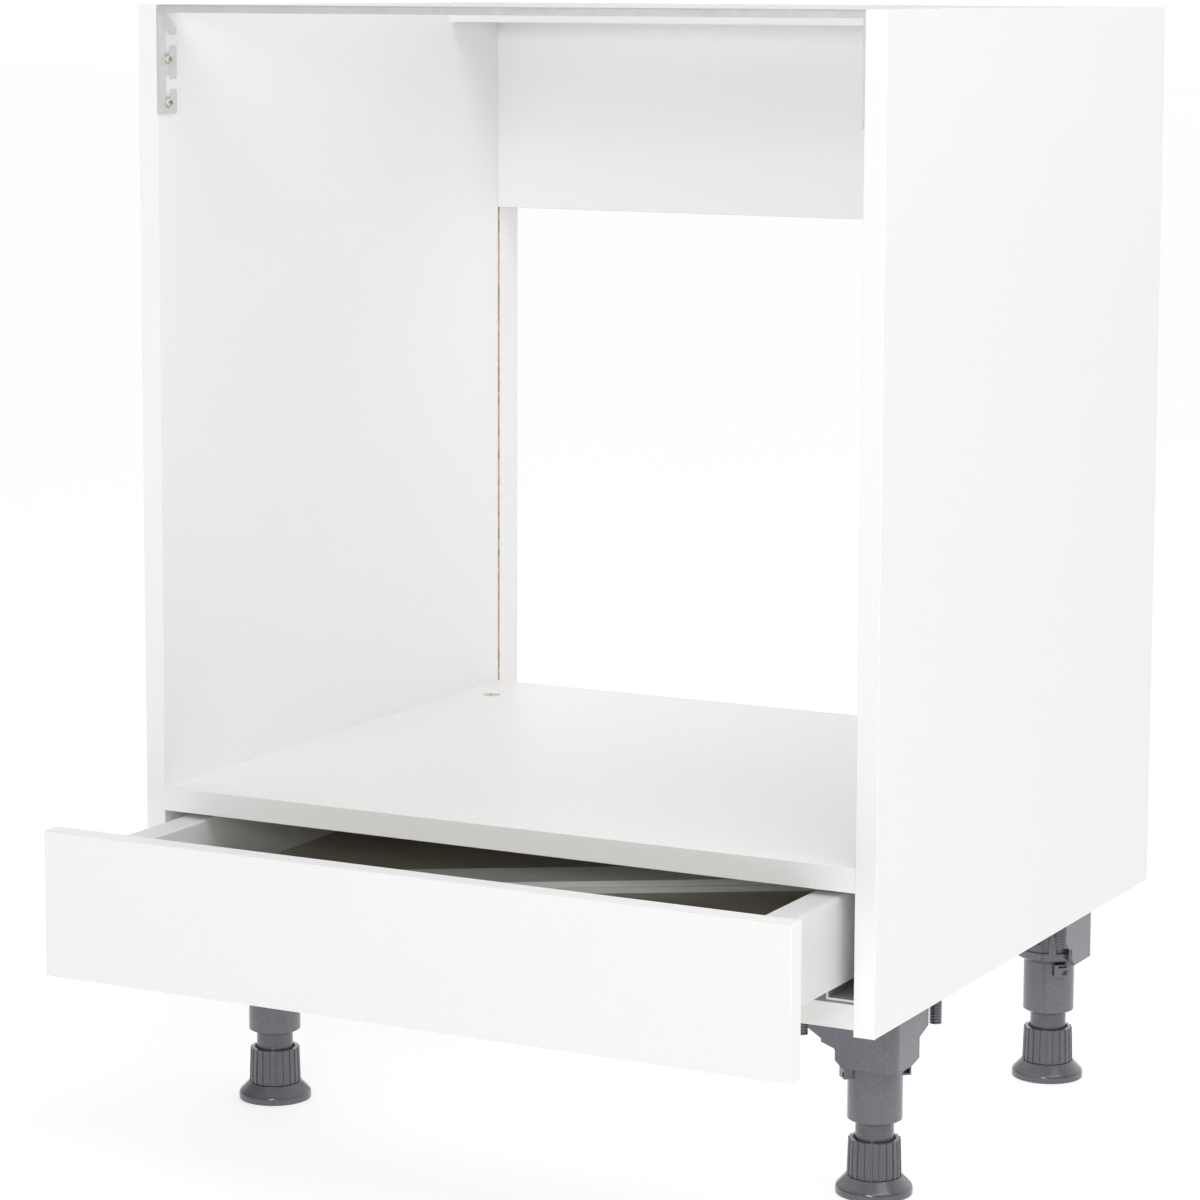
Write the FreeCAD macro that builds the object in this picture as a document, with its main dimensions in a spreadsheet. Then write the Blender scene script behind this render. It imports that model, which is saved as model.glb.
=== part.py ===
import FreeCAD, Part
import os
import types

import Sketcher

# An oven housing base cabinet: a melamine carcass with an open oven niche, a shallow metal-sided
# drawer below it, and four screw feet. Millimetres; the floor is z = 0, the front faces -Y and
# the origin is under the middle of the cabinet with its drawer pulled out.

SIZES = [
    # Carcass boards
    ("carcass_width", 600, "outside width over both side panels"),
    ("carcass_depth", 550, "front to back of the side panels"),
    ("side_thickness", 16, "side panel board"),
    ("shelf_thickness", 18, "board that carries the oven"),
    ("bottom_thickness", 18, "bottom board"),
    ("bottom_recess", 16, "bottom board behind the front of the side panels"),
    ("niche_height", 585, "oven niche, shelf to top of the side panels"),
    ("bay_height", 83, "drawer bay, bottom board to shelf"),
    ("stretcher_thickness", 16, "board across the top rear"),
    ("stretcher_depth", 80, "front to back of that board"),
    ("back_thickness", 3, "hardboard strip at the top rear"),
    ("back_height", 174, "height of that strip"),
    ("back_setback", 32, "clear depth behind the strip for pipes and cables"),
    ("groove_depth", 7, "groove in the side panels for the strip"),
    ("groove_slack", 0.4, "groove wider than the strip"),
    ("strip_end_slack", 0.5, "strip short of the groove's floor at each end"),
    ("band_thickness", 1, "edge band on the front edges"),
    ("band_rounding", 0.5, "rounded long edges of a band"),
    # Fittings that join the boards
    ("dowel_diameter", 8, "wooden dowel"),
    ("dowel_length", 35, "length of a dowel"),
    ("dowel_in_side", 11, "dowel length inside a side panel"),
    ("dowel_offset", 30, "dowel from the front or rear edge of a board"),
    ("cam_diameter", 15, "cam lock drum"),
    ("cam_height", 12, "depth of the drum"),
    ("cam_setback", 29, "drum axis from the end of the board"),
    ("cam_offset", 64, "drum from the front or rear edge of a board"),
    ("stretcher_cam_offset", 48, "drum from the front edge of the top rear board"),
    ("stretcher_dowel_offset", 18, "dowel from the front edge of the top rear board"),
    ("bolt_diameter", 7, "cam bolt inside the board"),
    ("bolt_thread_diameter", 5, "cam bolt and system screw thread inside a side panel"),
    ("bolt_in_side", 11, "thread length inside a side panel"),
    ("fit_slack", 0.05, "radial room of a dowel, drum, bolt or screw in its hole"),
    # Steel rail across the top front
    ("rail_sheet", 1.5, "galvanised sheet"),
    ("rail_depth", 24, "front to back of the rail and of its ears"),
    ("rail_lip", 6, "folded front lip"),
    ("ear_height", 80, "end ear down the inside of the panel"),
    ("ear_corner_depth", 17, "cut corner at the top rear of an ear, front to back"),
    ("ear_corner_height", 16, "cut corner, down from the rail"),
    ("hook_slot_width", 6.6, "slot that drops over a screw"),
    ("hook_setback", 13, "screw axis from the front edge"),
    ("hook_drop", 40, "upper screw axis below the top"),
    ("hook_pitch", 32, "upper to lower screw"),
    ("hook_rise", 21, "top of a slot above its screw axis"),
    ("hook_mouth", 8, "height of a slot's mouth"),
    ("hook_mouth_drop", 3.5, "mouth below the top of its slot"),
    ("hook_corner", 1.6, "rounded corners of the hooks"),
    ("worktop_hole_diameter", 5, "hole for a worktop screw"),
    ("worktop_hole_spacing", 400, "between the two worktop screws"),
    ("screw_head_diameter", 8, "pan head of a system screw"),
    ("screw_head_height", 2.4, "height of a pan head"),
    ("recess_length", 4.4, "cross recess, tip to tip"),
    ("recess_width", 1.2, "cross recess, one arm"),
    ("recess_depth", 1.4, "cross recess depth"),
    # Drawer
    ("drawer_opening", 116, "how far the drawer stands open at rest"),
    ("front_gap", 2, "drawer front to carcass when shut"),
    ("front_thickness", 16, "drawer front board"),
    ("front_width", 597, "drawer front width"),
    ("front_lift", 2, "drawer front above the underside of the carcass"),
    ("front_cover", 9, "drawer front over the front edge of the shelf"),
    ("front_rounding", 1, "rounded edges of the drawer front"),
    ("drawer_length", 450, "drawer side length"),
    ("drawer_side_gap", 11, "side panel to drawer side"),
    ("drawer_side_width", 25, "double-wall drawer side, outside to inside"),
    ("drawer_side_lift", 17, "drawer side above the bottom board"),
    ("drawer_side_room", 4, "drawer side below the shelf"),
    ("drawer_side_sheet", 1.2, "sheet of the drawer side"),
    ("drawer_side_rounding", 4, "rounded upper outer edge"),
    ("drawer_ledge", 12, "folded ledge that carries the drawer bottom"),
    ("drawer_bottom_thickness", 16, "drawer bottom board"),
    ("drawer_back_thickness", 16, "drawer back board"),
    ("drawer_back_drop", 4, "drawer back below the top of the sides"),
    ("strip_length", 548, "loose trim strip, too long to lie straight in the drawer"),
    ("strip_width", 47, "its upper face"),
    ("strip_lip", 3, "lower layer beyond that face"),
    ("strip_layer", 4.5, "each of its two layers"),
    ("strip_inset", 226, "middle of the strip behind the drawer front"),
    ("fixing_sheet", 2, "sheet of the front and back fixing angles"),
    ("fixing_top_gap", 3, "fixing angle below the top of the drawer side"),
    ("fixing_low_gap", 8, "fixing angle above the drawer runner"),
    ("fixing_leg", 45, "leg of the front angle along the drawer side"),
    ("back_fixing_reach", 30, "back angle over the drawer back"),
    ("wood_screw_diameter", 4, "screw into the drawer front and back"),
    ("wood_screw_length", 12, "length of such a screw in the wood"),
    ("wood_screw_head", 7, "its pan head"),
    ("wood_screw_head_height", 2, "height of its pan head"),
    ("wood_screw_edge", 5, "screw axis from the upper or lower edge of an angle"),
    # Drawer runners, one inside each hollow drawer side
    ("runner_sheet", 1.5, "sheet of the cabinet member"),
    ("runner_length", 450, "cabinet member length"),
    ("runner_inset", 8, "cabinet member behind the front of the carcass"),
    ("runner_lift", 4, "its foot above the bottom board"),
    ("runner_web", 28, "its web on the side panel"),
    ("track_width", 10, "track head on its stem"),
    ("track_height", 4, "track head height"),
    ("track_rise", 10, "track head above the lower edge of the drawer side"),
    ("runner_screw_lift", 18, "web screw above the runner's foot"),
    ("runner_screw_inset", 37, "web screw from either end of the runner"),
    ("slide_sheet", 1.2, "sheet of the middle and drawer members"),
    ("slide_side_room", 1, "track head to the inside of the middle member"),
    ("slide_lip_room", 1.5, "stem and track head to the lips of the middle member"),
    ("middle_length", 420, "middle member length"),
    ("middle_inset", 12, "middle member behind the carcass front when shut"),
    ("member_length", 440, "drawer member length"),
    ("member_leg_drop", 12, "drawer member legs below its top"),
    ("ball_diameter", 2.2, "bearing ball"),
    ("ball_room", 0.3, "ball to its track"),
    ("ball_pitch", 30, "ball to ball along a cage"),
    ("ball_row_gap", 5, "between the two rows of a cage"),
    ("cage_length", 190, "ball cage length"),
    ("cage_width", 8, "ball cage width"),
    ("cage_sheet", 1, "ball cage thickness"),
    ("cage_inset", 120, "ball cage behind the carcass front when shut"),
    # Screw feet
    ("leg_height", 144, "floor to the underside of the carcass"),
    ("foot_side_inset", 45, "foot axis from the outside of a side panel"),
    ("foot_front_inset", 106, "front foot axis from the front of the carcass"),
    ("foot_rear_inset", 100, "rear foot axis from the rear of the carcass"),
    ("bracket_plate", 4, "plate against the bottom board"),
    ("bracket_wall", 3, "moulded walls and ribs"),
    ("bracket_offset", 27, "foot axis to the two outer walls"),
    ("bracket_corner", 8, "rounded corner between those walls"),
    ("rim_drop", 48, "lower rim of the bracket below the carcass"),
    ("wall_reach", 42, "end wall at the plate, from the foot axis"),
    ("wall_edge", 21, "far end of that wall below the carcass"),
    ("wall_notch_reach", 31, "end wall at the notch between its slopes"),
    ("wall_notch_drop", 28, "that notch below the carcass"),
    ("wall_notch", 2.5, "height of the notch"),
    ("wall_step_reach", 20, "end wall at its straight step"),
    ("wall_step_drop", 34.3, "top of that step below the carcass"),
    ("wall_step", 8.2, "height of the step"),
    ("wall_foot_reach", 14.5, "end wall at the rim"),
    ("flank_reach", 33, "side wall at the plate, from the foot axis"),
    ("flank_edge", 25, "far end of that wall below the carcass"),
    ("flank_step_reach", 17, "side wall at its straight step"),
    ("flank_step_drop", 30.2, "top of that step below the carcass"),
    ("flank_step", 15, "height of the step"),
    ("flank_foot_reach", 4, "side wall at the rim"),
    ("collar_wall", 4.4, "collar round the tube"),
    ("rim_wall", 2, "rim outside the collar"),
    ("rim_height", 9, "height of the rim"),
    ("rim_slope", 3.5, "flared underside of the rim"),
    ("rim_lip", 0.8, "lower edge of the flare outside the tube"),
    ("boss_diameter", 7, "round boss beside the collar"),
    ("boss_far", 23.5, "boss from the foot axis along the end wall"),
    ("boss_near", 12, "boss from the foot axis towards the end wall"),
    ("peg_diameter", 7, "ribbed pegs under the plate"),
    ("peg_rib_diameter", 9, "ribs of the peg"),
    ("peg_length", 26.5, "peg below the carcass"),
    ("peg_rib_height", 1.1, "one rib"),
    ("peg_rib_pitch", 2.1, "rib to rib"),
    ("peg_near", 27, "peg from the foot axis towards the wall beside it"),
    ("peg_far", 46, "peg from the foot axis along that wall"),
    ("peg_margin", 1, "plate round a peg"),
    ("bracket_screw_diameter", 4, "screw up into the bottom board"),
    ("bracket_screw_length", 12, "its length in the board"),
    ("bracket_screw_outer", 20, "outer screws from the foot axis, sideways"),
    ("bracket_screw_inner", 42, "inner screws from the foot axis, sideways"),
    ("bracket_screw_near", 18, "screw towards the carcass end from the foot axis"),
    ("bracket_screw_far", 32, "screws towards the middle from the foot axis"),
    ("tube_diameter", 40, "leg tube"),
    ("tube_wall", 2.5, "its wall"),
    ("tube_drop", 43.5, "tube below the rim of its bracket"),
    ("tube_top_gap", 2, "tube below the bracket plate"),
    ("tube_floor", 6, "threaded floor of the tube"),
    ("tube_chamfer", 5, "slanted lower edge, inwards"),
    ("tube_chamfer_height", 3, "height of that edge"),
    ("lug_reach", 5.5, "snap lug out of the tube"),
    ("lug_width", 11, "snap lug width"),
    ("lug_height", 9.7, "snap lug below the rim"),
    ("lug_skin", 1.4, "walls round the hollow of a lug"),
    ("lug_hollow", 7, "hollow into the side of a lug"),
    ("lug_slit_height", 1.5, "slit across the face of a lug"),
    ("lug_slit_drop", 1, "slit below the top of the lug"),
    ("lug_slit_length", 7, "length of the slit"),
    ("lug_window", 3.6, "height and half length of the window below the slit"),
    ("stem_diameter", 28, "screw stem of the foot"),
    ("stem_room", 0.3, "stem to tube floor"),
    ("stem_engagement", 36, "stem above the lower end of the tube"),
    ("sleeve_top_diameter", 38, "ribbed sleeve at its top"),
    ("sleeve_low_diameter", 39.8, "ribbed sleeve at its foot"),
    ("sleeve_height", 27, "ribbed sleeve"),
    ("sleeve_rib_height", 0.9, "ribs of the sleeve"),
    ("sleeve_rib_width", 1.5, "width of one rib"),
    ("pivot_diameter", 20, "pivot that turns in the disc"),
    ("pivot_height", 4, "its length"),
    ("pivot_fit", 0.08, "radial room of the pivot in the disc"),
    ("pivot_room", 0.3, "room under the pivot and under the sleeve"),
    ("disc_diameter", 56, "foot disc"),
    ("disc_rim", 5.6, "straight rim of the disc"),
    ("disc_cone", 7.6, "cone above the rim"),
    ("disc_top_diameter", 41, "top of the cone"),
    ("disc_chamfer", 1, "slanted lower edge"),
]

SLEEVE_RIBS = 20
PEG_RIBS = 11
BALLS_PER_ROW = 6
# Slant of the loose strip in the drawer, in degrees
STRIP_TURN = 32
# Turn of the leg brackets, in degrees, by side and end of the carcass
BRACKET_TURNS = {(1, -1): 0, (1, 1): 90, (-1, 1): 180, (-1, -1): 270}
# Turn of the snap lugs in their bracket, in degrees
LUG_TURN = 43
TURN_Z_TO_X = FreeCAD.Rotation(FreeCAD.Vector(0, 1, 0), 90)
TURN_Z_TO_Y = FreeCAD.Rotation(FreeCAD.Vector(1, 0, 0), -90)
UPRIGHT = FreeCAD.Rotation()


class Size:
    """A length that knows its value and the spreadsheet expression that gives it."""

    def __init__(self, value, text):
        self.value = value
        self.text = text

    @staticmethod
    def of(other):
        if isinstance(other, Size):
            return other
        return Size(float(other), f"({other})")

    def combine(self, other, symbol, value):
        return Size(value, f"({self.text} {symbol} {other.text})")

    def __add__(self, other):
        other = Size.of(other)
        return self.combine(other, "+", self.value + other.value)

    def __sub__(self, other):
        other = Size.of(other)
        return self.combine(other, "-", self.value - other.value)

    def __mul__(self, other):
        other = Size.of(other)
        return self.combine(other, "*", self.value * other.value)

    def __truediv__(self, other):
        other = Size.of(other)
        return self.combine(other, "/", self.value / other.value)

    def __radd__(self, other):
        return Size.of(other) + self

    def __rsub__(self, other):
        return Size.of(other) - self

    def __rmul__(self, other):
        return Size.of(other) * self

    def __neg__(self):
        return Size(-self.value, f"(-1 * {self.text})")


doc = FreeCAD.newDocument("OvenHousingCabinet")
sheet = doc.addObject("Spreadsheet::Sheet", "Sizes")
for row, (alias, number, meaning) in enumerate(SIZES, start=1):
    sheet.set(f"A{row}", alias)
    sheet.set(f"B{row}", str(number))
    sheet.setAlias(f"B{row}", alias)
    sheet.set(f"C{row}", meaning)
doc.recompute()
S = types.SimpleNamespace(**{alias: Size(number, f"Sizes.{alias}") for alias, number, _ in SIZES})

nodes = {}


def node(name, thing):
    """Gives a finished sub-part its name and lists it for writing."""
    thing.Label = name
    nodes[name] = thing
    return thing


def bind(thing, **sizes):
    for prop, size in sizes.items():
        thing.setExpression(prop, Size.of(size).text)


def place(thing, base, rotation=UPRIGHT):
    thing.Placement = FreeCAD.Placement(FreeCAD.Vector(), rotation)
    for axis, size in zip("xyz", base):
        thing.setExpression(f"Placement.Base.{axis}", Size.of(size).text)


def box(name, low, high):
    """A box from its low corner to its high corner."""
    solid = doc.addObject("Part::Box", name)
    bind(solid, Length=high[0] - low[0], Width=high[1] - low[1], Height=high[2] - low[2])
    place(solid, low)
    return solid


def cylinder(name, base, radius, height, rotation=UPRIGHT):
    solid = doc.addObject("Part::Cylinder", name)
    bind(solid, Radius=radius, Height=height)
    place(solid, base, rotation)
    return solid


def group(name, solids):
    """Separate solids kept together in one object."""
    compound = doc.addObject("Part::Compound", name)
    compound.Links = solids
    return compound


def fuse(name, solids):
    union = doc.addObject("Part::MultiFuse", name)
    union.Shapes = solids
    return union


def cut(name, base, tools):
    result = doc.addObject("Part::Cut", name)
    result.Base = base
    result.Tool = group(name + "_tools", tools)
    return result


def outward(side, near, far):
    """The low and high x of a span from near to far out of the middle, on one side."""
    if side > 0:
        return near, far
    return -far, -near


def new_body(name, base):
    body = doc.addObject("PartDesign::Body", name)
    place(body, base)
    return body


def sketch_on(body, role, name, offset=None):
    """An empty sketch on one of the body's own planes, moved along the plane's normal."""
    sketch = body.newObject("Sketcher::SketchObject", name)
    plane = next(feature for feature in body.Origin.OriginFeatures if feature.Role == role)
    sketch.AttachmentSupport = [(plane, "")]
    sketch.MapMode = "FlatFace"
    if offset is not None:
        sketch.setExpression("AttachmentOffset.Base.z", Size.of(offset).text)
    return sketch


def pin(sketch, geometry, point, x, y):
    """Holds a point of the sketch at x and y from the sketch's origin."""
    for kind, size in (("DistanceX", Size.of(x)), ("DistanceY", Size.of(y))):
        index = sketch.addConstraint(Sketcher.Constraint(kind, -1, 1, geometry, point, size.value))
        sketch.setExpression(f"Constraints[{index}]", size.text)


def outline(body, role, name, points, offset=None):
    """A closed sketch of straight lines through the given points."""
    sketch = sketch_on(body, role, name, offset)
    points = [(Size.of(x), Size.of(y)) for x, y in points]
    corners = [FreeCAD.Vector(x.value, y.value, 0) for x, y in points]
    first = sketch.GeometryCount
    for start, end in zip(corners, corners[1:] + corners[:1]):
        sketch.addGeometry(Part.LineSegment(start, end), False)
    count = len(corners)
    for index in range(count):
        follower = first + (index + 1) % count
        sketch.addConstraint(Sketcher.Constraint("Coincident", first + index, 2, follower, 1))
    for index, (x, y) in enumerate(points):
        pin(sketch, first + index, 1, x, y)
    return sketch


def rectangle(body, role, name, low, high, offset=None):
    points = [low, (high[0], low[1]), high, (low[0], high[1])]
    return outline(body, role, name, points, offset)


def circles(body, role, name, centres, diameter, offset=None):
    """Circles of one diameter at the given centres."""
    sketch = sketch_on(body, role, name, offset)
    diameter = Size.of(diameter)
    for x, y in centres:
        x, y = Size.of(x), Size.of(y)
        centre = FreeCAD.Vector(x.value, y.value, 0)
        shape = Part.Circle(centre, FreeCAD.Vector(0, 0, 1), diameter.value / 2)
        geometry = sketch.addGeometry(shape, False)
        pin(sketch, geometry, 3, x, y)
        index = sketch.addConstraint(Sketcher.Constraint("Diameter", geometry, diameter.value))
        sketch.setExpression(f"Constraints[{index}]", diameter.text)
    return sketch


def pad(body, sketch, length, reverse=False, both_ways=False):
    feature = body.newObject("PartDesign::Pad", sketch.Name + "_pad")
    feature.Profile = sketch
    feature.Reversed = reverse
    if both_ways:
        feature.SideType = "Symmetric"
    bind(feature, Length=length)
    return feature


def pocket(body, sketch, length, reverse=False, both_ways=False):
    """A pocket that must take material away."""
    doc.recompute()
    before = body.Shape.Volume
    feature = body.newObject("PartDesign::Pocket", sketch.Name + "_pocket")
    feature.Profile = sketch
    feature.Reversed = reverse
    if both_ways:
        feature.SideType = "Symmetric"
    bind(feature, Length=length)
    doc.recompute()
    if body.Shape.Volume >= before:
        raise ValueError(f"{feature.Name} removes nothing")
    return feature


def revolve(body, sketch):
    feature = body.newObject("PartDesign::Revolution", sketch.Name + "_turned")
    feature.Profile = sketch
    feature.ReferenceAxis = (sketch, ["V_Axis"])
    feature.Angle = 360
    return feature


def round_edges(body, base, radius, wanted):
    """Rounds the edges of a feature whose middle point passes the test."""
    doc.recompute()
    names = [f"Edge{index}" for index, edge in enumerate(base.Shape.Edges, start=1) if wanted(edge)]
    feature = body.newObject("PartDesign::Fillet", base.Name + "_rounded")
    feature.Base = (base, names)
    bind(feature, Radius=radius)
    body.Tip = feature
    return feature


def runs_along(edge, axis):
    """True for a straight edge along one axis of the body."""
    start, end = edge.Vertexes[0].Point, edge.Vertexes[-1].Point
    change = end - start
    return change.Length > 0 and abs(getattr(change, axis)) > 0.999 * change.Length


def near(value, target):
    return abs(value - target) < 0.001


# Planes and places that several pieces share
reach = S.drawer_opening + S.front_gap + S.front_thickness
front_y = (reach - S.carcass_depth) / 2
rear_y = front_y + S.carcass_depth
half_width = S.carcass_width / 2
inner_x = half_width - S.side_thickness
base_z = S.leg_height
bottom_top = base_z + S.bottom_thickness
shelf_low = bottom_top + S.bay_height
shelf_top = shelf_low + S.shelf_thickness
top_z = shelf_top + S.niche_height
board_front = front_y + S.band_thickness
strip_rear = rear_y - S.back_setback
strip_front = strip_rear - S.back_thickness
bottom_front = front_y + S.bottom_recess
stretcher_low = top_z - S.stretcher_thickness
stretcher_front = strip_front - S.stretcher_depth
hook_y = front_y + S.hook_setback
hook_heights = [top_z - S.hook_drop, top_z - S.hook_drop - S.hook_pitch]
runner_front = front_y + S.runner_inset
runner_foot = bottom_top + S.runner_lift
runner_screw_z = runner_foot + S.runner_screw_lift
runner_screws_y = [
    runner_front + S.runner_screw_inset,
    runner_front + S.runner_length - S.runner_screw_inset,
]
SIDES = (("left", -1), ("right", 1))
ENDS = (("front", -1), ("rear", 1))

# Where dowels and cam locks join each board to the side panels: height, dowels, cams and faces
joints = [
    ("shelf", shelf_low + S.shelf_thickness / 2,
     [board_front + S.dowel_offset, strip_front - S.dowel_offset],
     [(board_front + S.cam_offset, shelf_low, 1), (strip_front - S.cam_offset, shelf_top, -1)]),
    ("bottom", base_z + S.bottom_thickness / 2,
     [bottom_front + S.dowel_offset, strip_front - S.dowel_offset],
     [(bottom_front + S.cam_offset, bottom_top, -1), (strip_front - S.cam_offset, bottom_top, -1)]),
    ("stretcher", stretcher_low + S.stretcher_thickness / 2,
     [stretcher_front + S.stretcher_dowel_offset],
     [(stretcher_front + S.stretcher_cam_offset, top_z, -1)]),
]


def drill_x(name, side, from_x, to_x, y, z, diameter):
    """A cylinder along X between two distances from the middle plane, on one side."""
    low, high = outward(side, from_x, to_x)
    return cylinder(name, (low, y, z), diameter / 2, high - low, TURN_Z_TO_X)


def fitting_holes(board, height, dowels, cams):
    """Holes in both ends of one board for its dowels, cam drums and bolts."""
    tools = []
    dowel_in_board = S.dowel_length - S.dowel_in_side + S.fit_slack
    for name, side in SIDES:
        for index, y in enumerate(dowels):
            tools.append(drill_x(f"{board}_{name}_dowel_hole_{index}", side, inner_x - dowel_in_board,
                                 inner_x, y, height, S.dowel_diameter + 2 * S.fit_slack))
        for index, (y, face, into) in enumerate(cams):
            label = f"{board}_{name}_cam_hole_{index}"
            deep = S.cam_height + S.fit_slack
            start = face if into > 0 else face - deep
            tools.append(cylinder(label, (side * (inner_x - S.cam_setback), y, start),
                                  S.cam_diameter / 2 + S.fit_slack, deep))
            tools.append(drill_x(label + "_bolt", side, inner_x - S.cam_setback, inner_x, y, height,
                                 S.bolt_diameter + 2 * S.fit_slack))
    return tools


def side_panels():
    for name, side in SIDES:
        low_x, high_x = outward(side, inner_x, half_width)
        slab = box(f"{name}_slab", (low_x, board_front, base_z), (high_x, rear_y, top_z))
        groove_x = outward(side, inner_x, inner_x + S.groove_depth)
        slack = S.groove_slack / 2
        tools = [box(f"{name}_groove", (groove_x[0], strip_front - slack, base_z),
                     (groove_x[1], strip_rear + slack, top_z))]
        dowel_deep = S.dowel_in_side + S.fit_slack
        thread = S.bolt_thread_diameter + 2 * S.fit_slack
        thread_deep = S.bolt_in_side + S.fit_slack
        for board, height, dowels, cams in joints:
            for index, y in enumerate(dowels):
                tools.append(drill_x(f"{name}_{board}_dowel_{index}", side, inner_x, inner_x + dowel_deep,
                                     y, height, S.dowel_diameter + 2 * S.fit_slack))
            for index, (y, _, _) in enumerate(cams):
                tools.append(drill_x(f"{name}_{board}_bolt_{index}", side, inner_x,
                                     inner_x + thread_deep, y, height, thread))
        for index, z in enumerate(hook_heights):
            tools.append(drill_x(f"{name}_hook_hole_{index}", side, inner_x, inner_x + thread_deep,
                                 hook_y, z, thread))
        for index, y in enumerate(runner_screws_y):
            tools.append(drill_x(f"{name}_runner_hole_{index}", side, inner_x, inner_x + thread_deep,
                                 y, runner_screw_z, thread))
        node(f"{name}_side_panel", cut(f"{name}_panel", slab, tools))


def boards():
    shelf = box("shelf_slab", (-inner_x, board_front, shelf_low), (inner_x, strip_front, shelf_top))
    node("oven_shelf", cut("shelf_board", shelf, fitting_holes(*joints[0])))
    low = (-inner_x, bottom_front + S.band_thickness, base_z)
    bottom = box("bottom_slab", low, (inner_x, strip_front, bottom_top))
    holes = fitting_holes(*joints[1])
    for x, y in bracket_screw_places():
        holes.append(cylinder(f"bottom_bracket_hole_{len(holes)}", (x, y, base_z),
                              S.bracket_screw_diameter / 2 + S.fit_slack,
                              S.bracket_screw_length + S.fit_slack))
    node("bottom_board", cut("bottom_panel", bottom, holes))
    stretcher = box("stretcher_slab", (-inner_x, stretcher_front, stretcher_low),
                    (inner_x, strip_front, top_z))
    node("rear_top_stretcher", cut("stretcher_board", stretcher, fitting_holes(*joints[2])))
    end_x = inner_x + S.groove_depth - S.strip_end_slack
    node("back_strip", box("back_hardboard", (-end_x, strip_front, top_z - S.back_height),
                           (end_x, strip_rear, top_z)))


def edge_band(name, low_x, high_x, y, low_z, high_z, along):
    """A thin strip on a front edge, its two long front edges rounded."""
    body = new_body(name, (low_x, y, low_z))
    sketch = rectangle(body, "XZ_Plane", name + "_face", (0, 0), (high_x - low_x, high_z - low_z))
    strip = pad(body, sketch, S.band_thickness, reverse=True)

    def front_long_edge(edge):
        return runs_along(edge, along) and near(edge.CenterOfMass.y, 0)

    round_edges(body, strip, S.band_rounding, front_long_edge)
    node(name, body)


def edge_bands():
    for name, side in SIDES:
        low_x, high_x = outward(side, inner_x, half_width)
        edge_band(f"{name}_side_edge_band", low_x, high_x, front_y, base_z, top_z, "z")
    edge_band("shelf_edge_band", -inner_x, inner_x, front_y, shelf_low, shelf_top, "x")
    edge_band("bottom_edge_band", -inner_x, inner_x, bottom_front, base_z, bottom_top, "x")


def fittings():
    dowel_solids, drums, bolts = [], [], []
    for board, height, dowels, cams in joints:
        for name, side in SIDES:
            for index, y in enumerate(dowels):
                start = inner_x - S.dowel_length + S.dowel_in_side
                dowel_solids.append(drill_x(f"{board}_{name}_dowel_pin_{index}", side, start,
                                            inner_x + S.dowel_in_side, y, height, S.dowel_diameter))
            for index, (y, face, into) in enumerate(cams):
                label = f"{board}_{name}_cam_{index}"
                drum_x = side * (inner_x - S.cam_setback)
                start = face if into > 0 else face - S.cam_height
                drum = cylinder(label, (drum_x, y, start), S.cam_diameter / 2, S.cam_height)
                drums.append(cross_recess(label + "_drum", drum, (drum_x, y, face), "z", into))
                tip = inner_x - S.cam_setback + S.cam_diameter / 2 + 2 * S.fit_slack
                shank = drill_x(label + "_shank", side, tip, inner_x, y, height, S.bolt_diameter)
                thread = drill_x(label + "_thread", side, inner_x, inner_x + S.bolt_in_side, y, height,
                                 S.bolt_thread_diameter)
                bolts.append(fuse(label + "_bolt_pin", [shank, thread]))
    node("wooden_dowels", group("dowel_set", dowel_solids))
    node("cam_locks", group("cam_set", drums))
    node("cam_bolts", group("bolt_set", bolts))


def cross_recess(name, head, face, axis, into):
    """Cuts a cross recess into a screw head or drum; into is the way from its face inwards."""
    half_arm, half_width = S.recess_length / 2, S.recess_width / 2
    depth_axis = "xyz".index(axis)
    start = face[depth_axis] if into > 0 else face[depth_axis] - S.recess_depth
    across = [index for index in range(3) if index != depth_axis]
    arms = []
    for long_axis in across:
        low, high = list(face), list(face)
        low[depth_axis] = start
        high[depth_axis] = start + S.recess_depth
        for index in across:
            half = half_arm if index == long_axis else half_width
            low[index] = face[index] - half
            high[index] = face[index] + half
        arms.append(box(f"{name}_arm_{long_axis}", low, high))
    return cut(name, head, [fuse(name + "_cross", arms)])


def system_screw(name, side, y, z, sheet_thickness):
    """A pan-head screw through a sheet into a side panel, with a cross recess."""
    under_head = inner_x - sheet_thickness
    head_face = under_head - S.screw_head_height
    tip = inner_x + S.bolt_in_side
    shank = drill_x(name + "_shank", side, under_head, tip, y, z, S.bolt_thread_diameter)
    head = drill_x(name + "_head", side, head_face, under_head, y, z, S.screw_head_diameter)
    blank = fuse(name + "_blank", [shank, head])
    return cross_recess(name, blank, (side * head_face, y, z), "x", side)


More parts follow.
